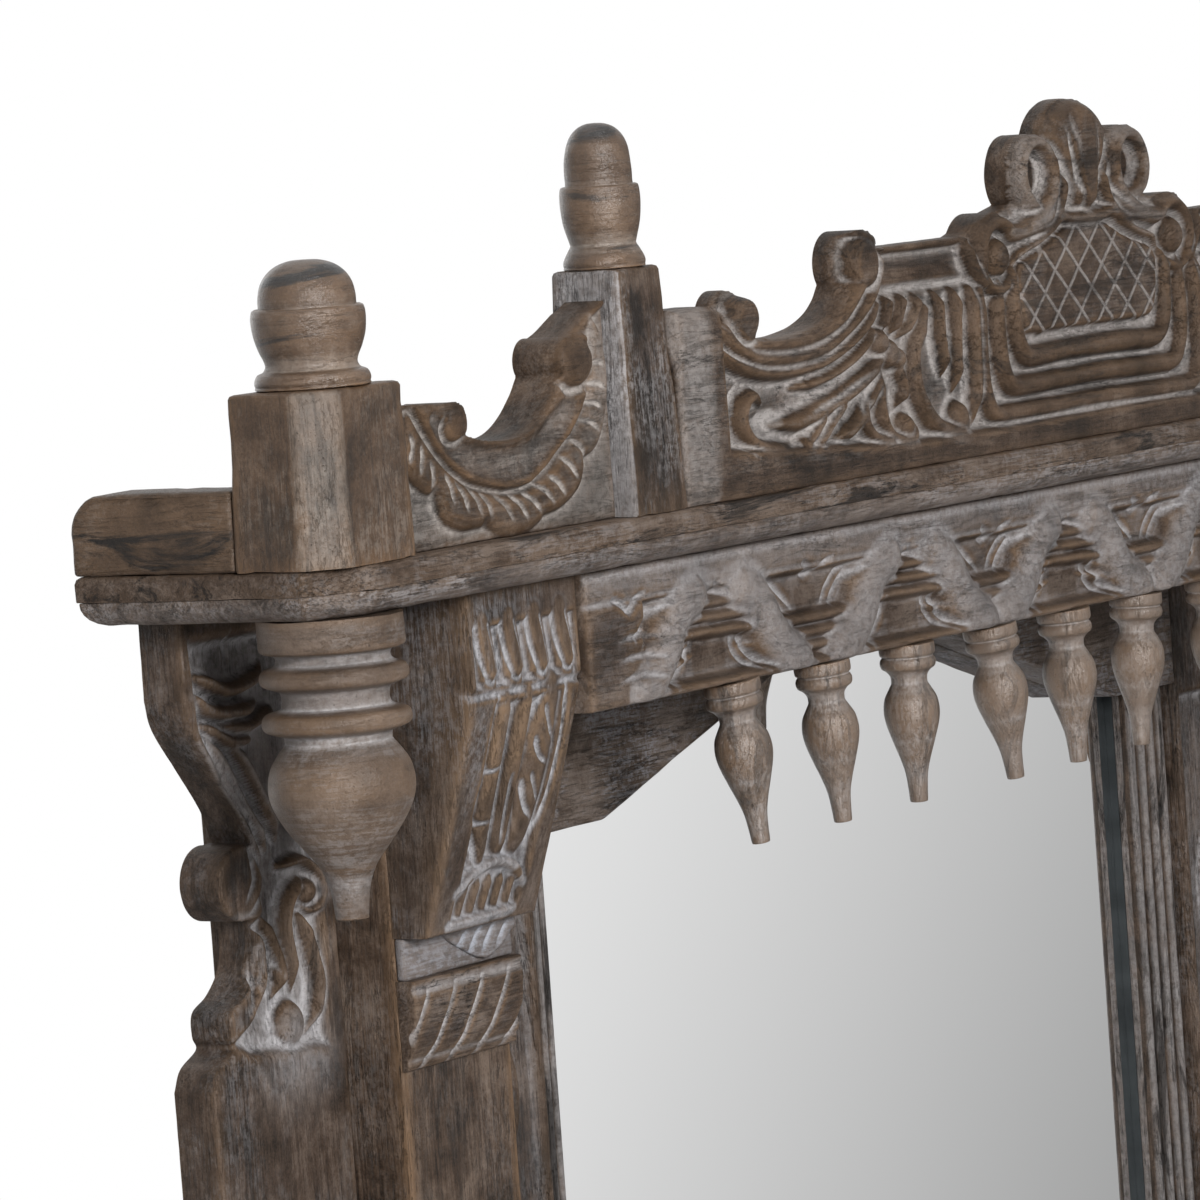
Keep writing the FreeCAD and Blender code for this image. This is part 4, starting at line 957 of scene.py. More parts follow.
def turned(profile, x, y, foot, sides=72, wobble=0.004, seed=1, stain_and_shade=0.0):
    """A piece off the lathe from its half outline, (radius, height) up from its foot, painted darker towards
    its top as painted shade.
    """
    line = [np.array(profile[0], float)]
    for stop in profile[1:]:
        stop = np.array(stop, float)
        count = max(1, int(np.linalg.norm(stop - line[-1]) / 0.9))
        line += [line[-1] + (stop - line[-1]) * (i + 1) / count for i in range(count)]
    line = np.array(line)
    radius = np.maximum(line[:, 0], 0.0)
    pad = np.pad(radius, 8, mode="edge")
    taps = np.exp(-np.linspace(-2, 2, 17) ** 2)
    mean = np.convolve(pad, taps / taps.sum(), "valid")
    # Limewash in the grooves, and painted shade that darkens the top quarter.
    lime = np.clip((mean - radius) / 0.9, 0, 1) - stain_and_shade * np.clip(4 * line[:, 1] / line[-1, 1] - 3, 0, 1)
    wear = 0.3 + np.clip((radius - mean) / 0.8, 0, 0.7)
    draw = np.random.default_rng(seed)
    turn = np.linspace(0, 2 * math.pi, sides, endpoint=False)
    out_of_round = 1 + wobble * np.sin(2 * turn + draw.uniform(0, 6))
    out_of_round = out_of_round + wobble / 2 * np.sin(3 * turn + draw.uniform(0, 6))
    rings = [np.column_stack([x + r * out_of_round * np.cos(turn), y + r * out_of_round * np.sin(turn),
                              np.full(sides, foot + h)]) for r, h in zip(radius[1:-1], line[1:-1, 1])]
    points = np.vstack(rings + [[(x, y, foot + line[0, 1])], [(x, y, foot + line[-1, 1])]])
    count = len(rings)
    faces = tube(count, sides)
    foot_point, last = count * sides, (count - 1) * sides
    faces += [(foot_point, (c + 1) % sides, c) for c in range(sides)]
    faces += [(foot_point + 1, last + c, last + (c + 1) % sides) for c in range(sides)]
    lime = np.concatenate([np.repeat(lime[1:-1], sides), [0, 0]])
    wear = np.concatenate([np.repeat(wear[1:-1], sides), [0, 0]])
    return points, faces, lime, wear


def half_outline(*parts):
    """A half outline run together from smooth parts, each given with its fineness."""
    return [point for points, fineness in parts for point in smooth(points, fineness).tolist()]


def turned_pair(name, profile, drawn_tall, material, seed, sides=72, stain_and_shade=0.0):
    """A pair of turned pieces in the places of their solids, from a profile drawn at its own height."""
    low, high = span(f"{name}_left")
    tall = high[2] - low[2]
    middle_x, middle_y = (low[0] + high[0]) / 2, (low[1] + high[1]) / 2
    shape = turned([(r, h * tall / drawn_tall) for r, h in profile], middle_x, middle_y, low[2], sides,
        stain_and_shade=stain_and_shade)
    add_pair(name, shape, material, seed=seed)


finial_profile = half_outline(
    ([(0, 0), (22, 0), (24.2, 1.8), (24.4, 4), (23.2, 6.4), (21, 7.4)], 5),
    ([(20.2, 8), (19.4, 10), (20, 12.6), (21.8, 16.5), (23.6, 22), (24.2, 27), (24.2, 31), (23.6, 33.4),
      (22.4, 34.2)], 5),
    ([(20.9, 33.6), (20.7, 35), (20.6, 38.5), (19.6, 43.5), (17, 48), (12.5, 51.6), (6.5, 53.6), (0, 54)], 6))
# The finials are painted darker at the top: painted shade for tops the light does not reach.
turned_pair("corner_finial", finial_profile, 54, turned_wood, 32, stain_and_shade=0.55)
small_profile = half_outline(
    ([(0, 0), (16.5, 0), (18.2, 1.5), (18.2, 4), (16.2, 8), (15, 10)], 5),
    ([(14.6, 11), (15.4, 14), (17, 20), (17.9, 27), (17.9, 33), (17.4, 36.4), (16.4, 37.2)], 5),
    ([(15.2, 36.4), (15, 39), (15, 46), (14.2, 53), (12.2, 58.5), (8.6, 62.6), (4.4, 64.6), (0, 65)], 6))
turned_pair("inner_finial", small_profile, 65, turned_wood, 34, 64, stain_and_shade=0.4)

# Pendants: large turned drops under the corners of the ledge, a drum, two rings on necks and a bulb that
# runs down to a small flat tip.
pendant_wood = limewashed("pendant_wood", "xy", haze=0.3, stain=0.25, warm=0.65, lift=0.05, streak=0.2,
    polish=0.15, cool=0.2, shift=(0.35, 0.9, 0.6))
pendant_profile = half_outline(
    ([(0, 0), (6.6, 0.2), (7.4, 2), (8, 8), (9.4, 16), (13, 24), (19, 32), (25.5, 41), (30, 50), (31.4, 58),
      (30, 66), (26.5, 72), (23.4, 76)], 5),
    ([(22.8, 77), (23.4, 80), (27, 81.2), (31, 83), (32, 86), (30.6, 89.4), (26, 91)], 5),
    ([(23.6, 92), (22.9, 95), (23.8, 99), (27, 100.4), (31, 102), (32, 105), (30.6, 108.4), (26.6, 110)], 5),
    ([(25, 111), (24.6, 113), (26, 115), (30, 116), (31.4, 117.5), (31.5, 122), (31.5, 130.5)], 4))
pendant_profile.append((0, 130.6))
turned_pair("corner_pendant", pendant_profile, 130.6, pendant_wood, 36, 88)

# Inner posts: square posts that taper upwards between the brackets and the crest.
inner_wood = limewashed("inner_wood", "z", haze=0.5, stain=0.8, warm=0.5, lift=-0.04, cool=0.25,
    shift=(0.75, 0.9, 0.2))
inner_low, inner_high = span("inner_post_left")
inner_tall, inner_draw = inner_high[2] - inner_low[2], 4.5
inner_levels = drawn_levels(inner_low[2], inner_tall, inner_draw, (14, 28, 42, 56, 70, 84, 96), 0.5, 1.8)
inner_points, inner_faces, inner_lime, inner_wear = moulded(rectangle(inner_low, inner_high), inner_levels,
    "z", 1.8, 7)
drawn_in = inner_draw * (inner_points[:, 2] - inner_low[2]) / inner_tall
outer_face = inner_points[:, 0] - inner_low[0] < 1 + drawn_in
inner_lime = np.maximum(inner_lime, 0.6 * outer_face)
add_pair("inner_post", (inner_points, inner_faces, inner_lime, inner_wear), inner_wood, chips=0.8, seed=38)

# Scroll brackets between the posts: carved boards with a smooth hollow band from a low scroll up to a high
# roll, and below it a scalloped leaf, cut by slanting gouges, that climbs the inner post.
bracket_wood = limewashed("bracket_wood", "x", haze=0.15, stain=0.4, warm=0.5, lift=-0.05, streak=0.4,
    cool=-0.15, shift=(0.45, 0.1, 0.8))
bracket_low, bracket_high = span("scroll_bracket_left")
shelf_top = bracket_low[2]
bracket_tall = bracket_high[2] - shelf_top
bracket = Relief(bracket_low[0], bracket_high[0], 0, bracket_tall, 0.8)
bracket_deep, low_eye, high_eye = 2.5, (-556, 53), (-461, 73)
bracket_edge = [(bracket_low[0], 0), (bracket_high[0], 0), (bracket_high[0], bracket_tall),
    (bracket_high[0] - 6, bracket_tall - 3)]
bracket_edge += list(smooth([(-438, 92), (-450, 86), (-458, 83)]))
bracket_edge += list(smooth(
    [(-470, 66), (-476, 59), (-485, 51), (-496, 45), (-508, 42.5), (-522, 42.5), (-536, 44), (-548, 47)]))
bracket_edge += [(-556, 61.8), (-580, 63), (bracket_low[0], 63.5)]
bracket_shape = np.minimum(bracket.inside(bracket_edge),
                           np.minimum(bracket.disc(*low_eye, 9.2), bracket.disc(*high_eye, 10.2)))
bracket_rim = [(-586, 62), (-580, 54), (-573, 46), (-563, 37), (-545, 26), (-520, 20.5), (-501, 21),
    (-484, 28), (-466, 39), (-455, 49), (-449, 58), (-446, 69)]
bracket_ground = [(-600, -2), (-424, -2), (-424, 96), (-438, 90), (-446, 78), *bracket_rim[::-1], (-600, 66)]
bracket.sink(bracket.inside(bracket_ground), bracket_deep, 2, pale=0.3)
lobes = [[(-594, 48), (-591, 34), (-580, 25), (-572, 23)], [(-572, 24), (-566, 12), (-552, 6), (-533, 6)],
         [(-534, 7), (-522, 1), (-505, -1), (-486, 5)], [(-487, 6), (-470, 9), (-456, 16), (-450, 27)],
         [(-451, 28), (-439, 33), (-430, 48), (-427, 66), (-431, 84), (-438, 92)]]
leaf_rim = [point for lobe in lobes for point in smooth(lobe)]
bracket_leaf = bracket.inside(leaf_rim + [(-444, 82)] + list(smooth(bracket_rim))[::-1])
leaf_share = np.clip(-bracket_leaf / 5.0, 0, 1)
leaf_climb = np.clip((bracket.gz - 24) / 30, 0, 1) * (bracket.gx > -470)
bracket.swell(bracket_leaf, -bracket_deep + 5.0 * np.sqrt(leaf_share), 0.05 + 0.35 * leaf_climb)
for start, stop in (
        ((-588, 51), (-589, 38)), ((-581, 46), (-583, 33)), ((-575, 38), (-574, 26)),
        ((-565, 32), (-559, 18)), ((-557, 28), (-548, 13)), ((-547, 24), (-538, 11)),
        ((-538, 21), (-530, 9)), ((-527, 19), (-514, 7)), ((-515, 18), (-502, 6)), ((-505, 18), (-491, 8)),
        ((-495, 21), (-480, 11)), ((-484, 24), (-471, 14)), ((-473, 31), (-460, 20)),
        ((-463, 38), (-451, 27)), ((-455, 46), (-440, 40)), ((-450, 53), (-436, 49)),
        ((-447, 61), (-433, 58)), ((-445, 70), (-432, 68))):
    bend = ((start[0] + stop[0]) / 2 + 1.5, (start[1] + stop[1]) / 2 + 1.2)
    bracket.cut([start, bend, stop], 2.3, 2.6, (0.3, 0.1), pale=0.9)
bracket_band = bracket.inside([(-600, 66)] + bracket_rim + [(-446, 84), (-500, 84)])
band_share = np.clip(-bracket_band / 1.6, 0, 1)
bracket.swell(bracket_band, 4.5 * band_share, 0.04)
bracket.cut(bracket_rim, 2.6, 1.6, (0.8, 0.8), pale=0.25)
band_middle = [(-572, 55), (-563, 46), (-550, 38), (-532, 33.5), (-512, 32), (-492, 36), (-476, 45),
    (-463, 57)]
bracket.cut(band_middle, 19, 3.6, (0.5, 0.5))
high_roll = np.hypot((bracket.gx + 458.5) / 14.5, (bracket.gz - 72) / 10.8)
bracket.cut([(-474, 66), (-468, 61), (-458, 59.5), (-449, 62), (-443, 68)], 6.0, 3.0, (0.4, 0.4), pale=0.35)
bracket.up = np.where(high_roll < 1, 3.0 + 4.0 * np.sqrt(np.clip(1 - high_roll ** 2, 0, 1)), bracket.up)
bracket.pale = np.where(high_roll < 1, -0.4, bracket.pale)
bracket.boss(*low_eye, 8.6, 4.0, 1.5, pale=-0.3)
bracket.cut(coil(*low_eye, 150, 330, 9.4, 9.0), 2.6, 2.6, pale=0.5)
bracket_carved = carved(bracket, bracket_shape, bracket_low[1], bracket_high[1], cuts=0.6, rise=shelf_top)
add_pair("scroll_bracket", bracket_carved, bracket_wood, chips=0.3, seed=40, crisp=80)

# Crest: a carved board on the ledge between the inner posts. From each end a plain margin, a triple rolled
# band between two scrolls, acanthus leaves and curled drops, then nested bands round a shield cut with a
# lattice, under small volutes, great volutes and a shell. Both halves are carved alike about its middle.
crest_low, crest_high = span("crest")
crest_tall = crest_high[2] - crest_low[2]
crest_middle, crest_end, crest_deep = 10.0, crest_low[0], 7.0
lattice_wide, lattice_tall, lattice_rise = 23.5, 21.0, crest_low[2] + 73


def lattice(here):
    """Thin scored lines that cross in diamonds, on the shield alone."""
    x, z = (here.node("ShaderNodeSeparateXYZ", {}, {0: here}, axis) for axis in (0, 2))
    shield = here.node("ShaderNodeAttribute", {"attribute_name": "field"}, {}, 2)
    over = (x - crest_middle * MM) * (1 / (lattice_wide * MM))
    up = (z - lattice_rise * MM) * (1 / (lattice_tall * MM))
    shake = (here.node("ShaderNodeTexNoise", {}, {"Vector": here, "Scale": 60.0, "Detail": 3.0}) - 0.5) * 0.12
    gaps = []
    for lean in (over + up + shake, over - up + shake):
        off = lean - lean.math("ROUND", lean, 0)
        gaps.append(off.math("ABSOLUTE", off, 0))
    nearest = gaps[0].math("MINIMUM", *gaps)
    return shield * (1 - nearest.between(0.035, 0.095))


crest_wood = limewashed("crest_wood", "x", haze=0.15, stain=0.5, warm=0.4, lift=-0.03, streak=0.7,
    shift=(0.55, 0.1, 0.3), scored=lattice)
half = Relief(crest_end, crest_middle, 0, crest_tall, 1.0)
crest_edge = [(crest_end, 0), (crest_end, 89), (-349, 88.5)]
crest_edge += list(smooth([(-340, 85), (-326, 76), (-310, 71.5), (-292, 70), (-272, 70), (-252, 72.5),
    (-238, 77), (-228, 83), (-222, 90)]))
crest_edge += [(-208, 105), (-104, 105), (-70, 114), (-50, 118), (-30, 140), (crest_middle, 150),
    (crest_middle + 5, 150), (crest_middle + 5, 0)]
crest_shape = half.inside(crest_edge)
end_eye, side_eye, small_eye, great_eye = (-318, 80.5), (-209, 99), (-81, 93), (-38, 131)
shell_tall, shell_half = 27.0, 35.0
shell_foot = crest_tall - shell_tall
shell_reach = np.hypot((half.gx - crest_middle) / shell_half, (half.gz - shell_foot) / shell_tall)
shell = (shell_reach - 1) * shell_tall
for round_shape in (
        half.disc(*end_eye, 13.5), half.disc(*side_eye, 15.5), half.disc(*small_eye, 22),
        half.disc(*great_eye, 20), shell):
    crest_shape = np.minimum(crest_shape, round_shape)
half.sink(half.inside([(-343, 90), (-342, 21), (-300, 18), (-250, 15.5), (-180, 11), (-100, 11),
    (crest_middle + 6, 12), (crest_middle + 6, 170), (-60, 170), (-60, 118), (-110, 110), (-110, 104),
    (-190, 104), (-230, 120), (-300, 120)]), crest_deep, 3, pale=0.1)
half.pale += 0.45 * np.clip((-350 - half.gx) / 8, 0, 1) - 0.12 * np.clip((12 - half.gz) / 4, 0, 1)
half.sink(half.inside([(-190, 84), (-108, 84), (-112, 106), (-188, 106)]), 3.0, 2)
for band_line, band_wide in (
        ([(-333, 82), (-326, 74), (-312, 69), (-296, 67), (-278, 66.5), (-260, 68), (-244, 71.5),
        (-230, 77), (-217, 86), (-207, 93)], 12), ([(-338, 76), (-328, 69), (-312, 62), (-290, 59.5),
        (-270, 59.5), (-250, 62), (-232, 68), (-215, 76), (-203, 85), (-195, 97), (-200, 108)], 10),
        ([(-341, 68), (-330, 61), (-310, 55), (-290, 53), (-270, 53.5), (-250, 55.5), (-230, 61),
        (-212, 69), (-199, 79)], 7)):
    half.strand(band_line, band_wide, 7.0, -crest_deep, (0.8, 0.8))
half.strand(
    [(-302, 41), (-311, 45), (-320, 42), (-324, 34), (-317, 25), (-304, 20), (-291, 19), (-278, 20.5)], 9,
    6, -crest_deep, (0.4, 0.3))
for stem_line, stem_wide in (
        ([(-200, 67), (-216, 58), (-233, 51.7), (-254, 47.5), (-275, 45.5)], 7),
        ([(-194, 53), (-210, 46), (-227, 40), (-250, 34), (-275, 30), (-294, 30)], 11),
        ([(-197, 47), (-208, 37), (-218, 28.5), (-229, 22.5), (-241, 18.5)], 10),
        ([(-232, 37), (-244, 29), (-256, 21), (-266, 15.5)], 9), ([(-252, 32), (-262, 24), (-276, 16)], 8),
        ([(-210, 38), (-216, 26), (-206, 16.5), (-186, 13)], 8),
        ([(-199, 48), (-200.5, 33), (-197, 21), (-188, 14.5), (-178, 13), (-169, 17), (-171, 24)], 9),
        ([(-150, 73), (-160, 62), (-165, 50), (-165, 37), (-156, 23), (-141, 14), (-126, 13), (-119, 18),
        (-122, 25)], 13), ([(-140, 80), (-140, 62), (-136, 41)], 8),
        ([(-123, 80), (-124, 56), (-127, 33)], 9), ([(-107, 80), (-108, 56), (-109, 36), (-111, 16)], 10),
        ([(-182, 48), (-178, 38), (-181, 30)], 8), ([(-158, 80), (-166, 70), (-176, 62)], 7),
        ([(-172, 81), (-178, 72), (-184, 64)], 7), ([(-186, 81), (-189, 74), (-192, 66)], 6)):
    half.strand(stem_line, stem_wide, 6.3, -crest_deep, (0.6, 0.4), pale=0.08)
for knob_x, knob_z, knob_size in ((-178, 20, 7.0), (-127, 20, 8.5), (-196, 61, 7.0), (-188, 55, 8.0),
        (-181, 52, 6.5)):
    half.boss(knob_x, knob_z, knob_size, 6.5, -crest_deep, 0.12 if knob_z > 30 else 0.0)
for flute_line in (
        [(-207, 48), (-224, 42.5), (-246, 36.5), (-270, 32)], [(-203, 46), (-213, 36), (-222, 27)],
        [(-240, 35), (-250, 27), (-260, 20.5)], [(-262, 28), (-270, 21)],
        [(-160, 60), (-163.5, 46), (-160, 32)], [(-317, 38), (-316, 31), (-308, 24)],
        [(-137, 74), (-137, 60), (-135, 46)], [(-121, 74), (-122, 56), (-125, 38)],
        [(-212, 36), (-213, 27), (-204, 19)], [(-163, 78), (-172, 68)],
        [(-196, 44), (-197, 32), (-193, 22)]):
    half.cut(flute_line, 2.8, 2.4, (0.3, 0.2), pale=0.55)
half.cut([(-312, 33), (-300, 31), (-288, 30)], 9.0, 0.8, pale=0.45)
half.cut([(-194, 84), (-150, 84.5), (-104, 84)], 4.5, 2.0, (0.7, 0.7), pale=0.8)
for corner_at, foot_at, top_at in ((-98, 17.5, 78), (-80, 30, 80), (-64, 43.5, 84)):
    half.strand([(corner_at - 3, top_at), (corner_at - 5, foot_at + 34), (corner_at - 4, foot_at + 15),
        (corner_at + 1, foot_at + 4), (corner_at + 9, foot_at), (corner_at + 24, foot_at),
        (-20, foot_at + 0.6), (crest_middle + 6, foot_at + 1)], 11.5, 6.5, -crest_deep, (0.8, 1),
        crown=0.55)
field_rim = smooth([(-66, 84), (-63, 64), (-56, 53), (-44, 51), (-20, 51.5), (crest_middle + 6, 52)]).tolist()
field_rim += [(crest_middle + 6, 107), (-14, 106), (-26, 101), (-42, 96), (-60, 92)]
lattice_field = half.inside(field_rim)
half.sink(lattice_field, 3.0, 3)
half.up = np.where(lattice_field < -3, np.maximum(half.up, -3.0), half.up)
half.pale = np.where(lattice_field < 0, 0.0, half.pale)
half.strand([(-66, 88), (-58, 94), (-42, 98), (-27, 103), (-15, 108), (crest_middle + 6, 108)], 6, 6,
    -crest_deep, (0.6, 1), pale=0.3)
half.strand([(-112, 105), (-106, 92), (-98, 82)] + coil(*small_eye, 215, 320, 17, 14).tolist(), 8, 6.5,
    -crest_deep, (0.6, 0.6))
half.strand(coil(*small_eye, 220, 40, 17, 17.5).tolist() + [(-58, 104), (-44, 106), (-28, 111), (-16, 119)],
    11, 7, -crest_deep, (0.7, 0.5))
half.boss(*small_eye, 10.5, 7.5, -crest_deep, pale=-0.2)
half.cut(coil(*small_eye, 110, 260, 12.5, 12.5), 4.0, 2.5, pale=0.9)
half.strand(coil(*great_eye, 30, -95, 29, 27).tolist() + [(-50, 103), (-62, 100)], 7, 6.0, -crest_deep,
    (0.3, 0.5))
half.strand(coil(*great_eye, 265, -60, 15.5, 17).tolist() + [(-36, 112), (-54, 105), (-70, 103)], 12, 8.0,
    -8, (0.8, 0.6), pale=0.32)
# The great volute's eye is sunk and painted dark: painted shade in the hole.
half.sink(half.disc(great_eye[0] - 1, great_eye[1], 10.5), 6.5, 3, pale=-0.7)
# The shell is painted darker towards its top: painted shade where the light does not reach it.
half.swell(shell, -crest_deep + 7.5 * np.sqrt(np.clip(-shell / shell_tall, 0, 1)),
    -0.4 * np.clip((half.gz - shell_foot) / 20, 0, 1))
half.strand([(crest_middle, 112), (crest_middle, 130), (crest_middle, 152)], 26, 8, -6, (0.5, 1))
half.cut([(-24, 148), (-15, 140), (-6, 127), (0, 112)], 9.0, 3.6, (0.4, 0.5), pale=0.5)
half.cut([(-6, 152), (-3, 138), (2, 124), (6, 113)], 3.0, 2.6, (0.2, 0.5), pale=0.3)
half.strand([(-22, 112), (-6, 107.5), (crest_middle + 6, 106.5)], 8, 6, -crest_deep, (0.6, 1), pale=0.2)
half.boss(*end_eye, 10.5, 3.5, -2.5)
half.boss(*side_eye, 12.0, 4.0, -3.0)
half.up *= 1.4
half.soften(0.7)
half.cut(coil(*end_eye, 150, 330, 12.2, 11.6), 3.2, 2.6, pale=0.6)
half.cut(coil(*side_eye, -110, 60, 13.6, 13.0), 4.2, 3.0, pale=0.8)
half.cut(coil(-312, 33, 100, 250, 19, 17), 3.6, 2.6, pale=0.8)
half.cut([(-308, 33), (-296, 34), (-284, 34)], 8.0, 1.2, pale=0.9)


def both_halves(grid):
    """What is drawn for the left half, with its mirror image beside it."""
    return np.hstack([grid, grid[:, -2::-1]])


crest = Relief(crest_end, 2 * crest_middle - crest_end, 0, crest_tall, 1.2)
whole_x = np.concatenate([half.x, (2 * crest_middle - half.x[::-1])[1:]])
squeeze = (crest_high[0] - crest_middle) / (crest_middle - crest_end)
whole_x = np.where(whole_x > crest_middle, crest_middle + (whole_x - crest_middle) * squeeze, whole_x)
crest.x, crest.z = whole_x, half.z
crest.gx, crest.gz = np.meshgrid(crest.x, crest.z)
crest.up, crest.pale, crest_shape = both_halves(half.up), both_halves(half.pale), both_halves(crest_shape)
shield = both_halves(np.clip(-lattice_field / 2 - 0.5, 0, 1))
rolled = 1.5 + 4.0 * np.clip((crest.gz - 62) / 12, 0, 1)
crest_points, crest_faces, crest_wash_and_shade, crest_wear = carved(crest, crest_shape, crest_low[1], crest_high[1],
    rolled, cuts=0.95)
shield_row = np.clip(np.searchsorted(crest.z, crest_points[:, 2]), 0, len(crest.z) - 1)
shield_col = np.clip(np.searchsorted(crest.x, crest_points[:, 0]), 0, len(crest.x) - 1)
on_shield = shield[shield_row, shield_col] * (crest_points[:, 1] < crest_low[1] + 9)
crest_points[:, 2] += shelf_top
add_piece("crest", crest_points, crest_faces, crest_wash_and_shade, crest_wear, crest_wood, ["crest"], chips=0.3,
    seed=42, crisp=80, field=on_shield)

# Valance: a board between the corbels carved as a ribbon that wraps a pair of strands, an arch over every
# second drop, with pairs of curved gouges beside each wrap and notches under the top moulding.
valance_wood = limewashed("valance_wood", "x", haze=0.15, stain=0.4, warm=0.6, lift=0.03, streak=0.45,
    cool=0.3, shift=(0.95, 0.1, 0.5))
valance_low, valance_high = span("valance")
valance_tall = valance_high[2] - valance_low[2]
valance = Relief(valance_low[0], valance_high[0], -valance_tall, 0, 1.0)
carving_end, valance_deep = 398.0, 9.0
# The sunk ground is painted darker than the wood: painted shade in the recess round the ribbons and strands.
valance.sink(
    valance.inside([(-carving_end, -17), (-carving_end, -61), (carving_end, -61), (carving_end, -17)]),
    valance_deep, 4, pale=-0.2)
valance.cut([(valance_low[0], -16), (valance_high[0], -16)], 3.0, 1.4, (1, 1), pale=0.5)
valance.pale = np.where(valance.gz > -15, 0.2, valance.pale)
valance.pale += 0.5 * np.clip(1 - np.abs(valance.gz + 4) / 3, 0, 1)
arches, notches = (-332, -157, 0, 157, 332), (-409, -244, -76, 76, 244, 409)
for notch in notches:
    for hand in (-1, 1):
        valance.cut([(notch + hand * 14, -14), (notch + hand * 5, -18), (notch, -22)], 5, 3.0, (0.3, 0.6),
            pale=0.8)
    for strand_up in (-40, -46.5, -53):
        valance.strand([(notch - 62, strand_up + 6), (notch - 30, strand_up), (notch, strand_up - 1),
            (notch + 30, strand_up), (notch + 62, strand_up + 5)], 6.5, 6, 1 - valance_deep, (0.15, 0.15))
wrap_line = (6, -16), (26, -21), (38, -30), (45, -41), (56, -52), (70, -60)
over_line = ((40, -21), (52, -25), (62, -32), (69, -39))
under_line = ((24, -38), (27, -46), (35, -53), (47, -59))
for arch in arches:
    for strand_up in (-25, -31.5, -38):
        valance.strand([(arch - 50, strand_up - 5), (arch - 25, strand_up), (arch, strand_up),
            (arch + 25, strand_up - 1), (arch + 50, strand_up - 6)], 6.5, 6.5, 1 - valance_deep,
            (0.15, 0.15))
    for hand in (-1, 1):
        wrap = [(arch + hand * u, z) for u, z in wrap_line]
        valance.strand(wrap, 28, 12.0, -valance_deep, (0.5, 0.95), pale=0.46, crown=0.6)
        for shift_x, shift_z in ((0, 0), (6, 4)):
            for gouge_line, way in ((over_line, 1), (under_line, -1)):
                valance.cut(
                    [(arch + hand * (u + way * shift_x), z + way * shift_z * 0.6) for u, z in gouge_line],
                    3.2, 3.2, pale=1.0)
    valance.cut([(arch - 4, -15), (arch + 2, -19), (arch + 5, -22)], 4, 2.0, pale=0.7)
for hand in (-1, 1):
    for end_up in (-34, -43, -52):
        valance.cut([(hand * 420, end_up), (hand * 400, end_up + 1), (hand * 384, end_up - 1)], 4, 2.2,
            (0.05, 0.4), pale=0.5)
# The steep walls of the ribbons get a stronger painted shade than the other carvings.
valance_shape = carved(valance, valance.board(), valance_low[1], valance_high[1], cuts=0.35, steep_shade=0.4,
    rise=ledge_foot)
add_piece("valance", *valance_shape, valance_wood, ["valance"], chips=0.3, seed=44, crisp=80)

# Drops: nine turned drops pegged in a row under the valance, each a collar, a pinched neck, a bulb and a long
# tip, no two hanging quite alike.
drop_wood = limewashed("drop_wood", "z", haze=0.35, stain=0.5, warm=0.8, lift=0.18, streak=0.4, polish=0.4,
                       cool=0.1, shift=(0.65, 0.4, 0.6))
drop_nodes = [f"drop_{i}" for i in range(1, 10)]
drop_low, drop_high = span(drop_nodes[0])
drop_tall, drop_drawn = drop_high[2] - drop_low[2], 77
drop_profile = half_outline(
    ([(0, 0), (3.6, 0.1), (4.3, 1.2), (4.6, 6), (5.4, 14), (7.2, 21), (10.2, 30), (12.6, 38), (13.4, 44),
      (12.6, 50), (10.4, 54.4), (8.9, 57)], 5),
    ([(8.6, 58), (8.9, 61), (10.6, 63.4), (12.8, 65), (13.4, 67.4), (12.9, 69.2), (12.3, 69.8)], 5),
    ([(12.2, 70.4), (13.2, 71.4), (13.4, 74), (13.2, 76.6)], 4)) + [(0, drop_drawn)]
drop_points, drop_faces, drop_lime, drop_wear = turned(
    [(r, (h - drop_drawn) * drop_tall / drop_drawn) for r, h in drop_profile], 0, 0, 0, 48)
drop_pattern = bpy.data.meshes.new("drop_pattern")
drop_pattern.from_pydata((drop_points * MM).tolist(), [], drop_faces)
mark(drop_pattern, lime=drop_lime, wear=drop_wear)
drop_pattern.shade_smooth()
drop_one = bpy.data.objects.new("drop_pattern", drop_pattern)

row = bpy.data.node_groups.new("drop_row", "GeometryNodeTree")
row.interface.new_socket("Geometry", in_out="INPUT", socket_type="NodeSocketGeometry")
row.interface.new_socket("Geometry", in_out="OUTPUT", socket_type="NodeSocketGeometry")
row_kinds = {"Drop": "NodeSocketObject", "Sway": "NodeSocketFloat", "Wood": "NodeSocketMaterial"}
row_inputs = {label: row.interface.new_socket(label, in_out="INPUT", socket_type=kind).identifier
              for label, kind in row_kinds.items()}
given = row.nodes.new("NodeGroupInput")
result = row.nodes.new("NodeGroupOutput")
pattern_node = row.nodes.new("GeometryNodeObjectInfo")
lean = row.nodes.new("GeometryNodeInputNamedAttribute")
lean.data_type = "FLOAT_VECTOR"
lean.inputs["Name"].default_value = "lean"
swayed = row.nodes.new("ShaderNodeVectorMath")
swayed.operation = "SCALE"
instance = row.nodes.new("GeometryNodeInstanceOnPoints")
realize = row.nodes.new("GeometryNodeRealizeInstances")
set_wood = row.nodes.new("GeometryNodeSetMaterial")
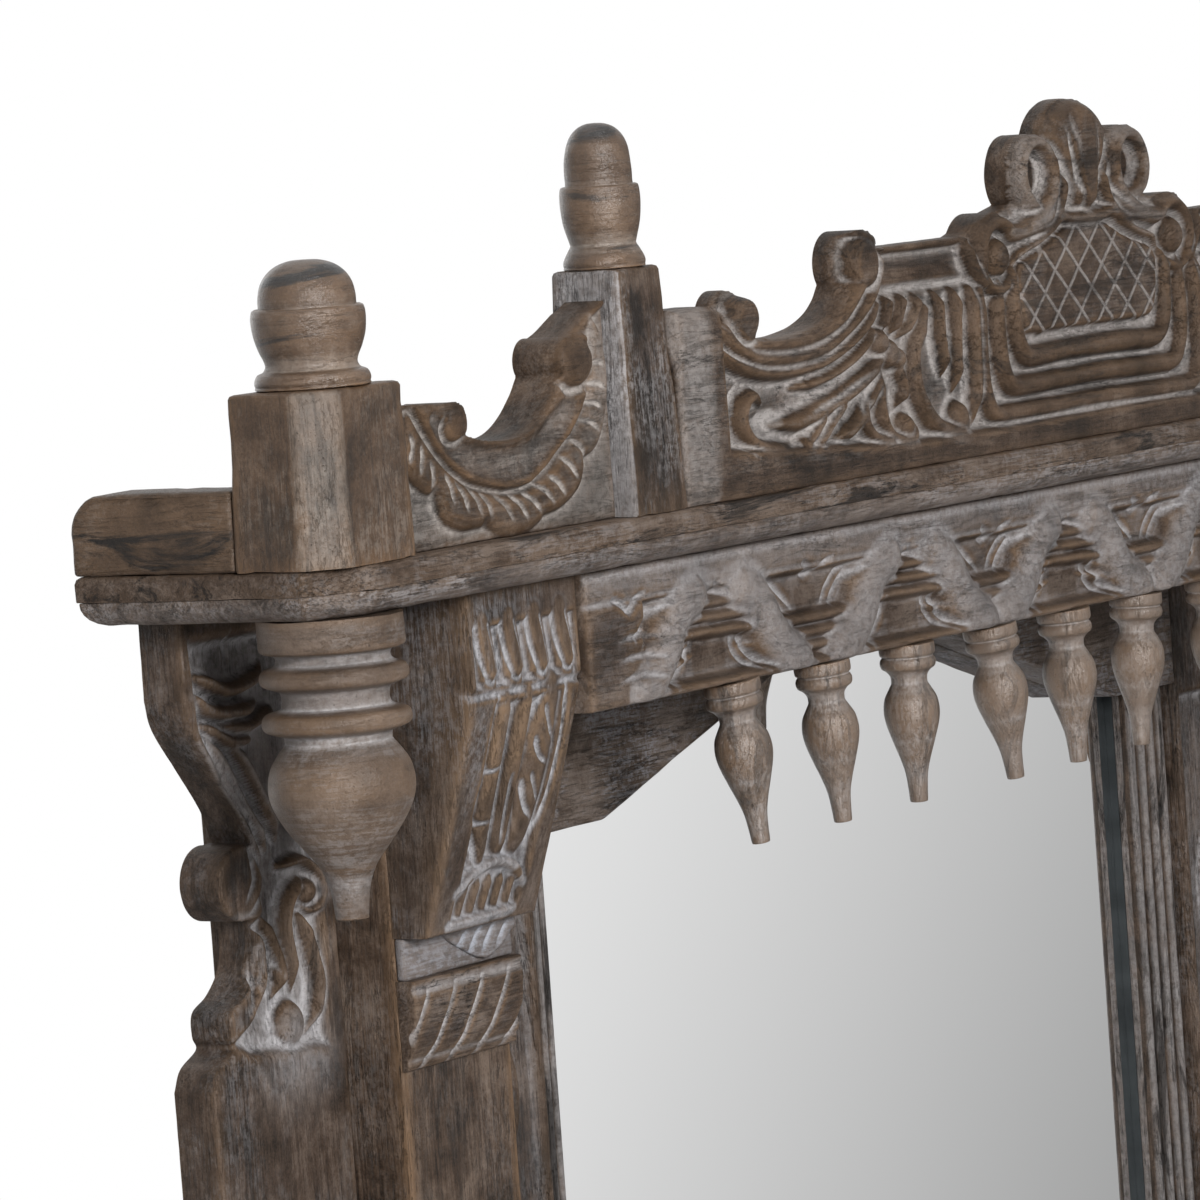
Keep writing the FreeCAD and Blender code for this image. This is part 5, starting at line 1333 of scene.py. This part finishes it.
for source, output, target, socket in (
        (given, "Drop", pattern_node, "Object"), (lean, 0, swayed, 0), (given, "Sway", swayed, "Scale"),
        (given, "Geometry", instance, "Points"), (pattern_node, "Geometry", instance, "Instance"),
        (swayed, 0, instance, "Rotation"), (instance, 0, realize, 0), (realize, 0, set_wood, "Geometry"),
        (given, "Wood", set_wood, "Material"), (set_wood, 0, result, 0)):
    row.links.new(source.outputs[output], target.inputs[socket])

drop_places = [(span(node)[0] + span(node)[1]) / 2 * MM for node in drop_nodes]
drop_peg = drop_high[2] * MM
drop_shifts = (-5, -1, 1, 4, 1, -1, 2, -3, 2)
drop_leans = ((-4, -6), (-2, -4), (0, -1.5), (-3.5, -6), (-1, -2.5), (1, 1), (-1, -3), (2, 2), (0, -2))
drop_rows = bpy.data.meshes.new("drop_carrier")
drop_rows.from_pydata(
    [(place[0] + move * MM, place[1], drop_peg) for place, move in zip(drop_places, drop_shifts)], [], [])
drop_rows.attributes.new("lean", "FLOAT_VECTOR", "POINT").data.foreach_set(
    "vector", [angle for over_x, over_y in drop_leans for angle in (over_x, over_y, 0)])
drop_carrier = bpy.data.objects.new("drop_carrier", drop_rows)
scene.collection.objects.link(drop_carrier)
scene.collection.objects.link(drop_one)
drop_row = drop_carrier.modifiers.new("drop_row", "NODES")
drop_row.node_group = row
drop_row[row_inputs["Drop"]] = drop_one
drop_row[row_inputs["Sway"]] = math.radians(1)
drop_row[row_inputs["Wood"]] = drop_wood
drop_mesh = bpy.data.meshes.new_from_object(drop_carrier.evaluated_get(bpy.context.evaluated_depsgraph_get()))
bpy.data.objects.remove(drop_carrier)
bpy.data.objects.remove(drop_one)
drops = bpy.data.objects.new("drops", drop_mesh)
scene.collection.objects.link(drops)
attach(drops, "root")
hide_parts(*drop_nodes)

# Hanging plates: steel plates let into the backs of the stiles, each held by two screws, dull and scratched.
steel = clouded("plate_steel", (0.28, 0.27, 0.26, 1), (0.5, 0.5, 0.5, 1), 220.0, 4.0, 0.3, 0.25, metal=1.0)
for node_name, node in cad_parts.items():
    if node_name.startswith(("hanging_plate", "plate_screw")):
        dress(node, steel)
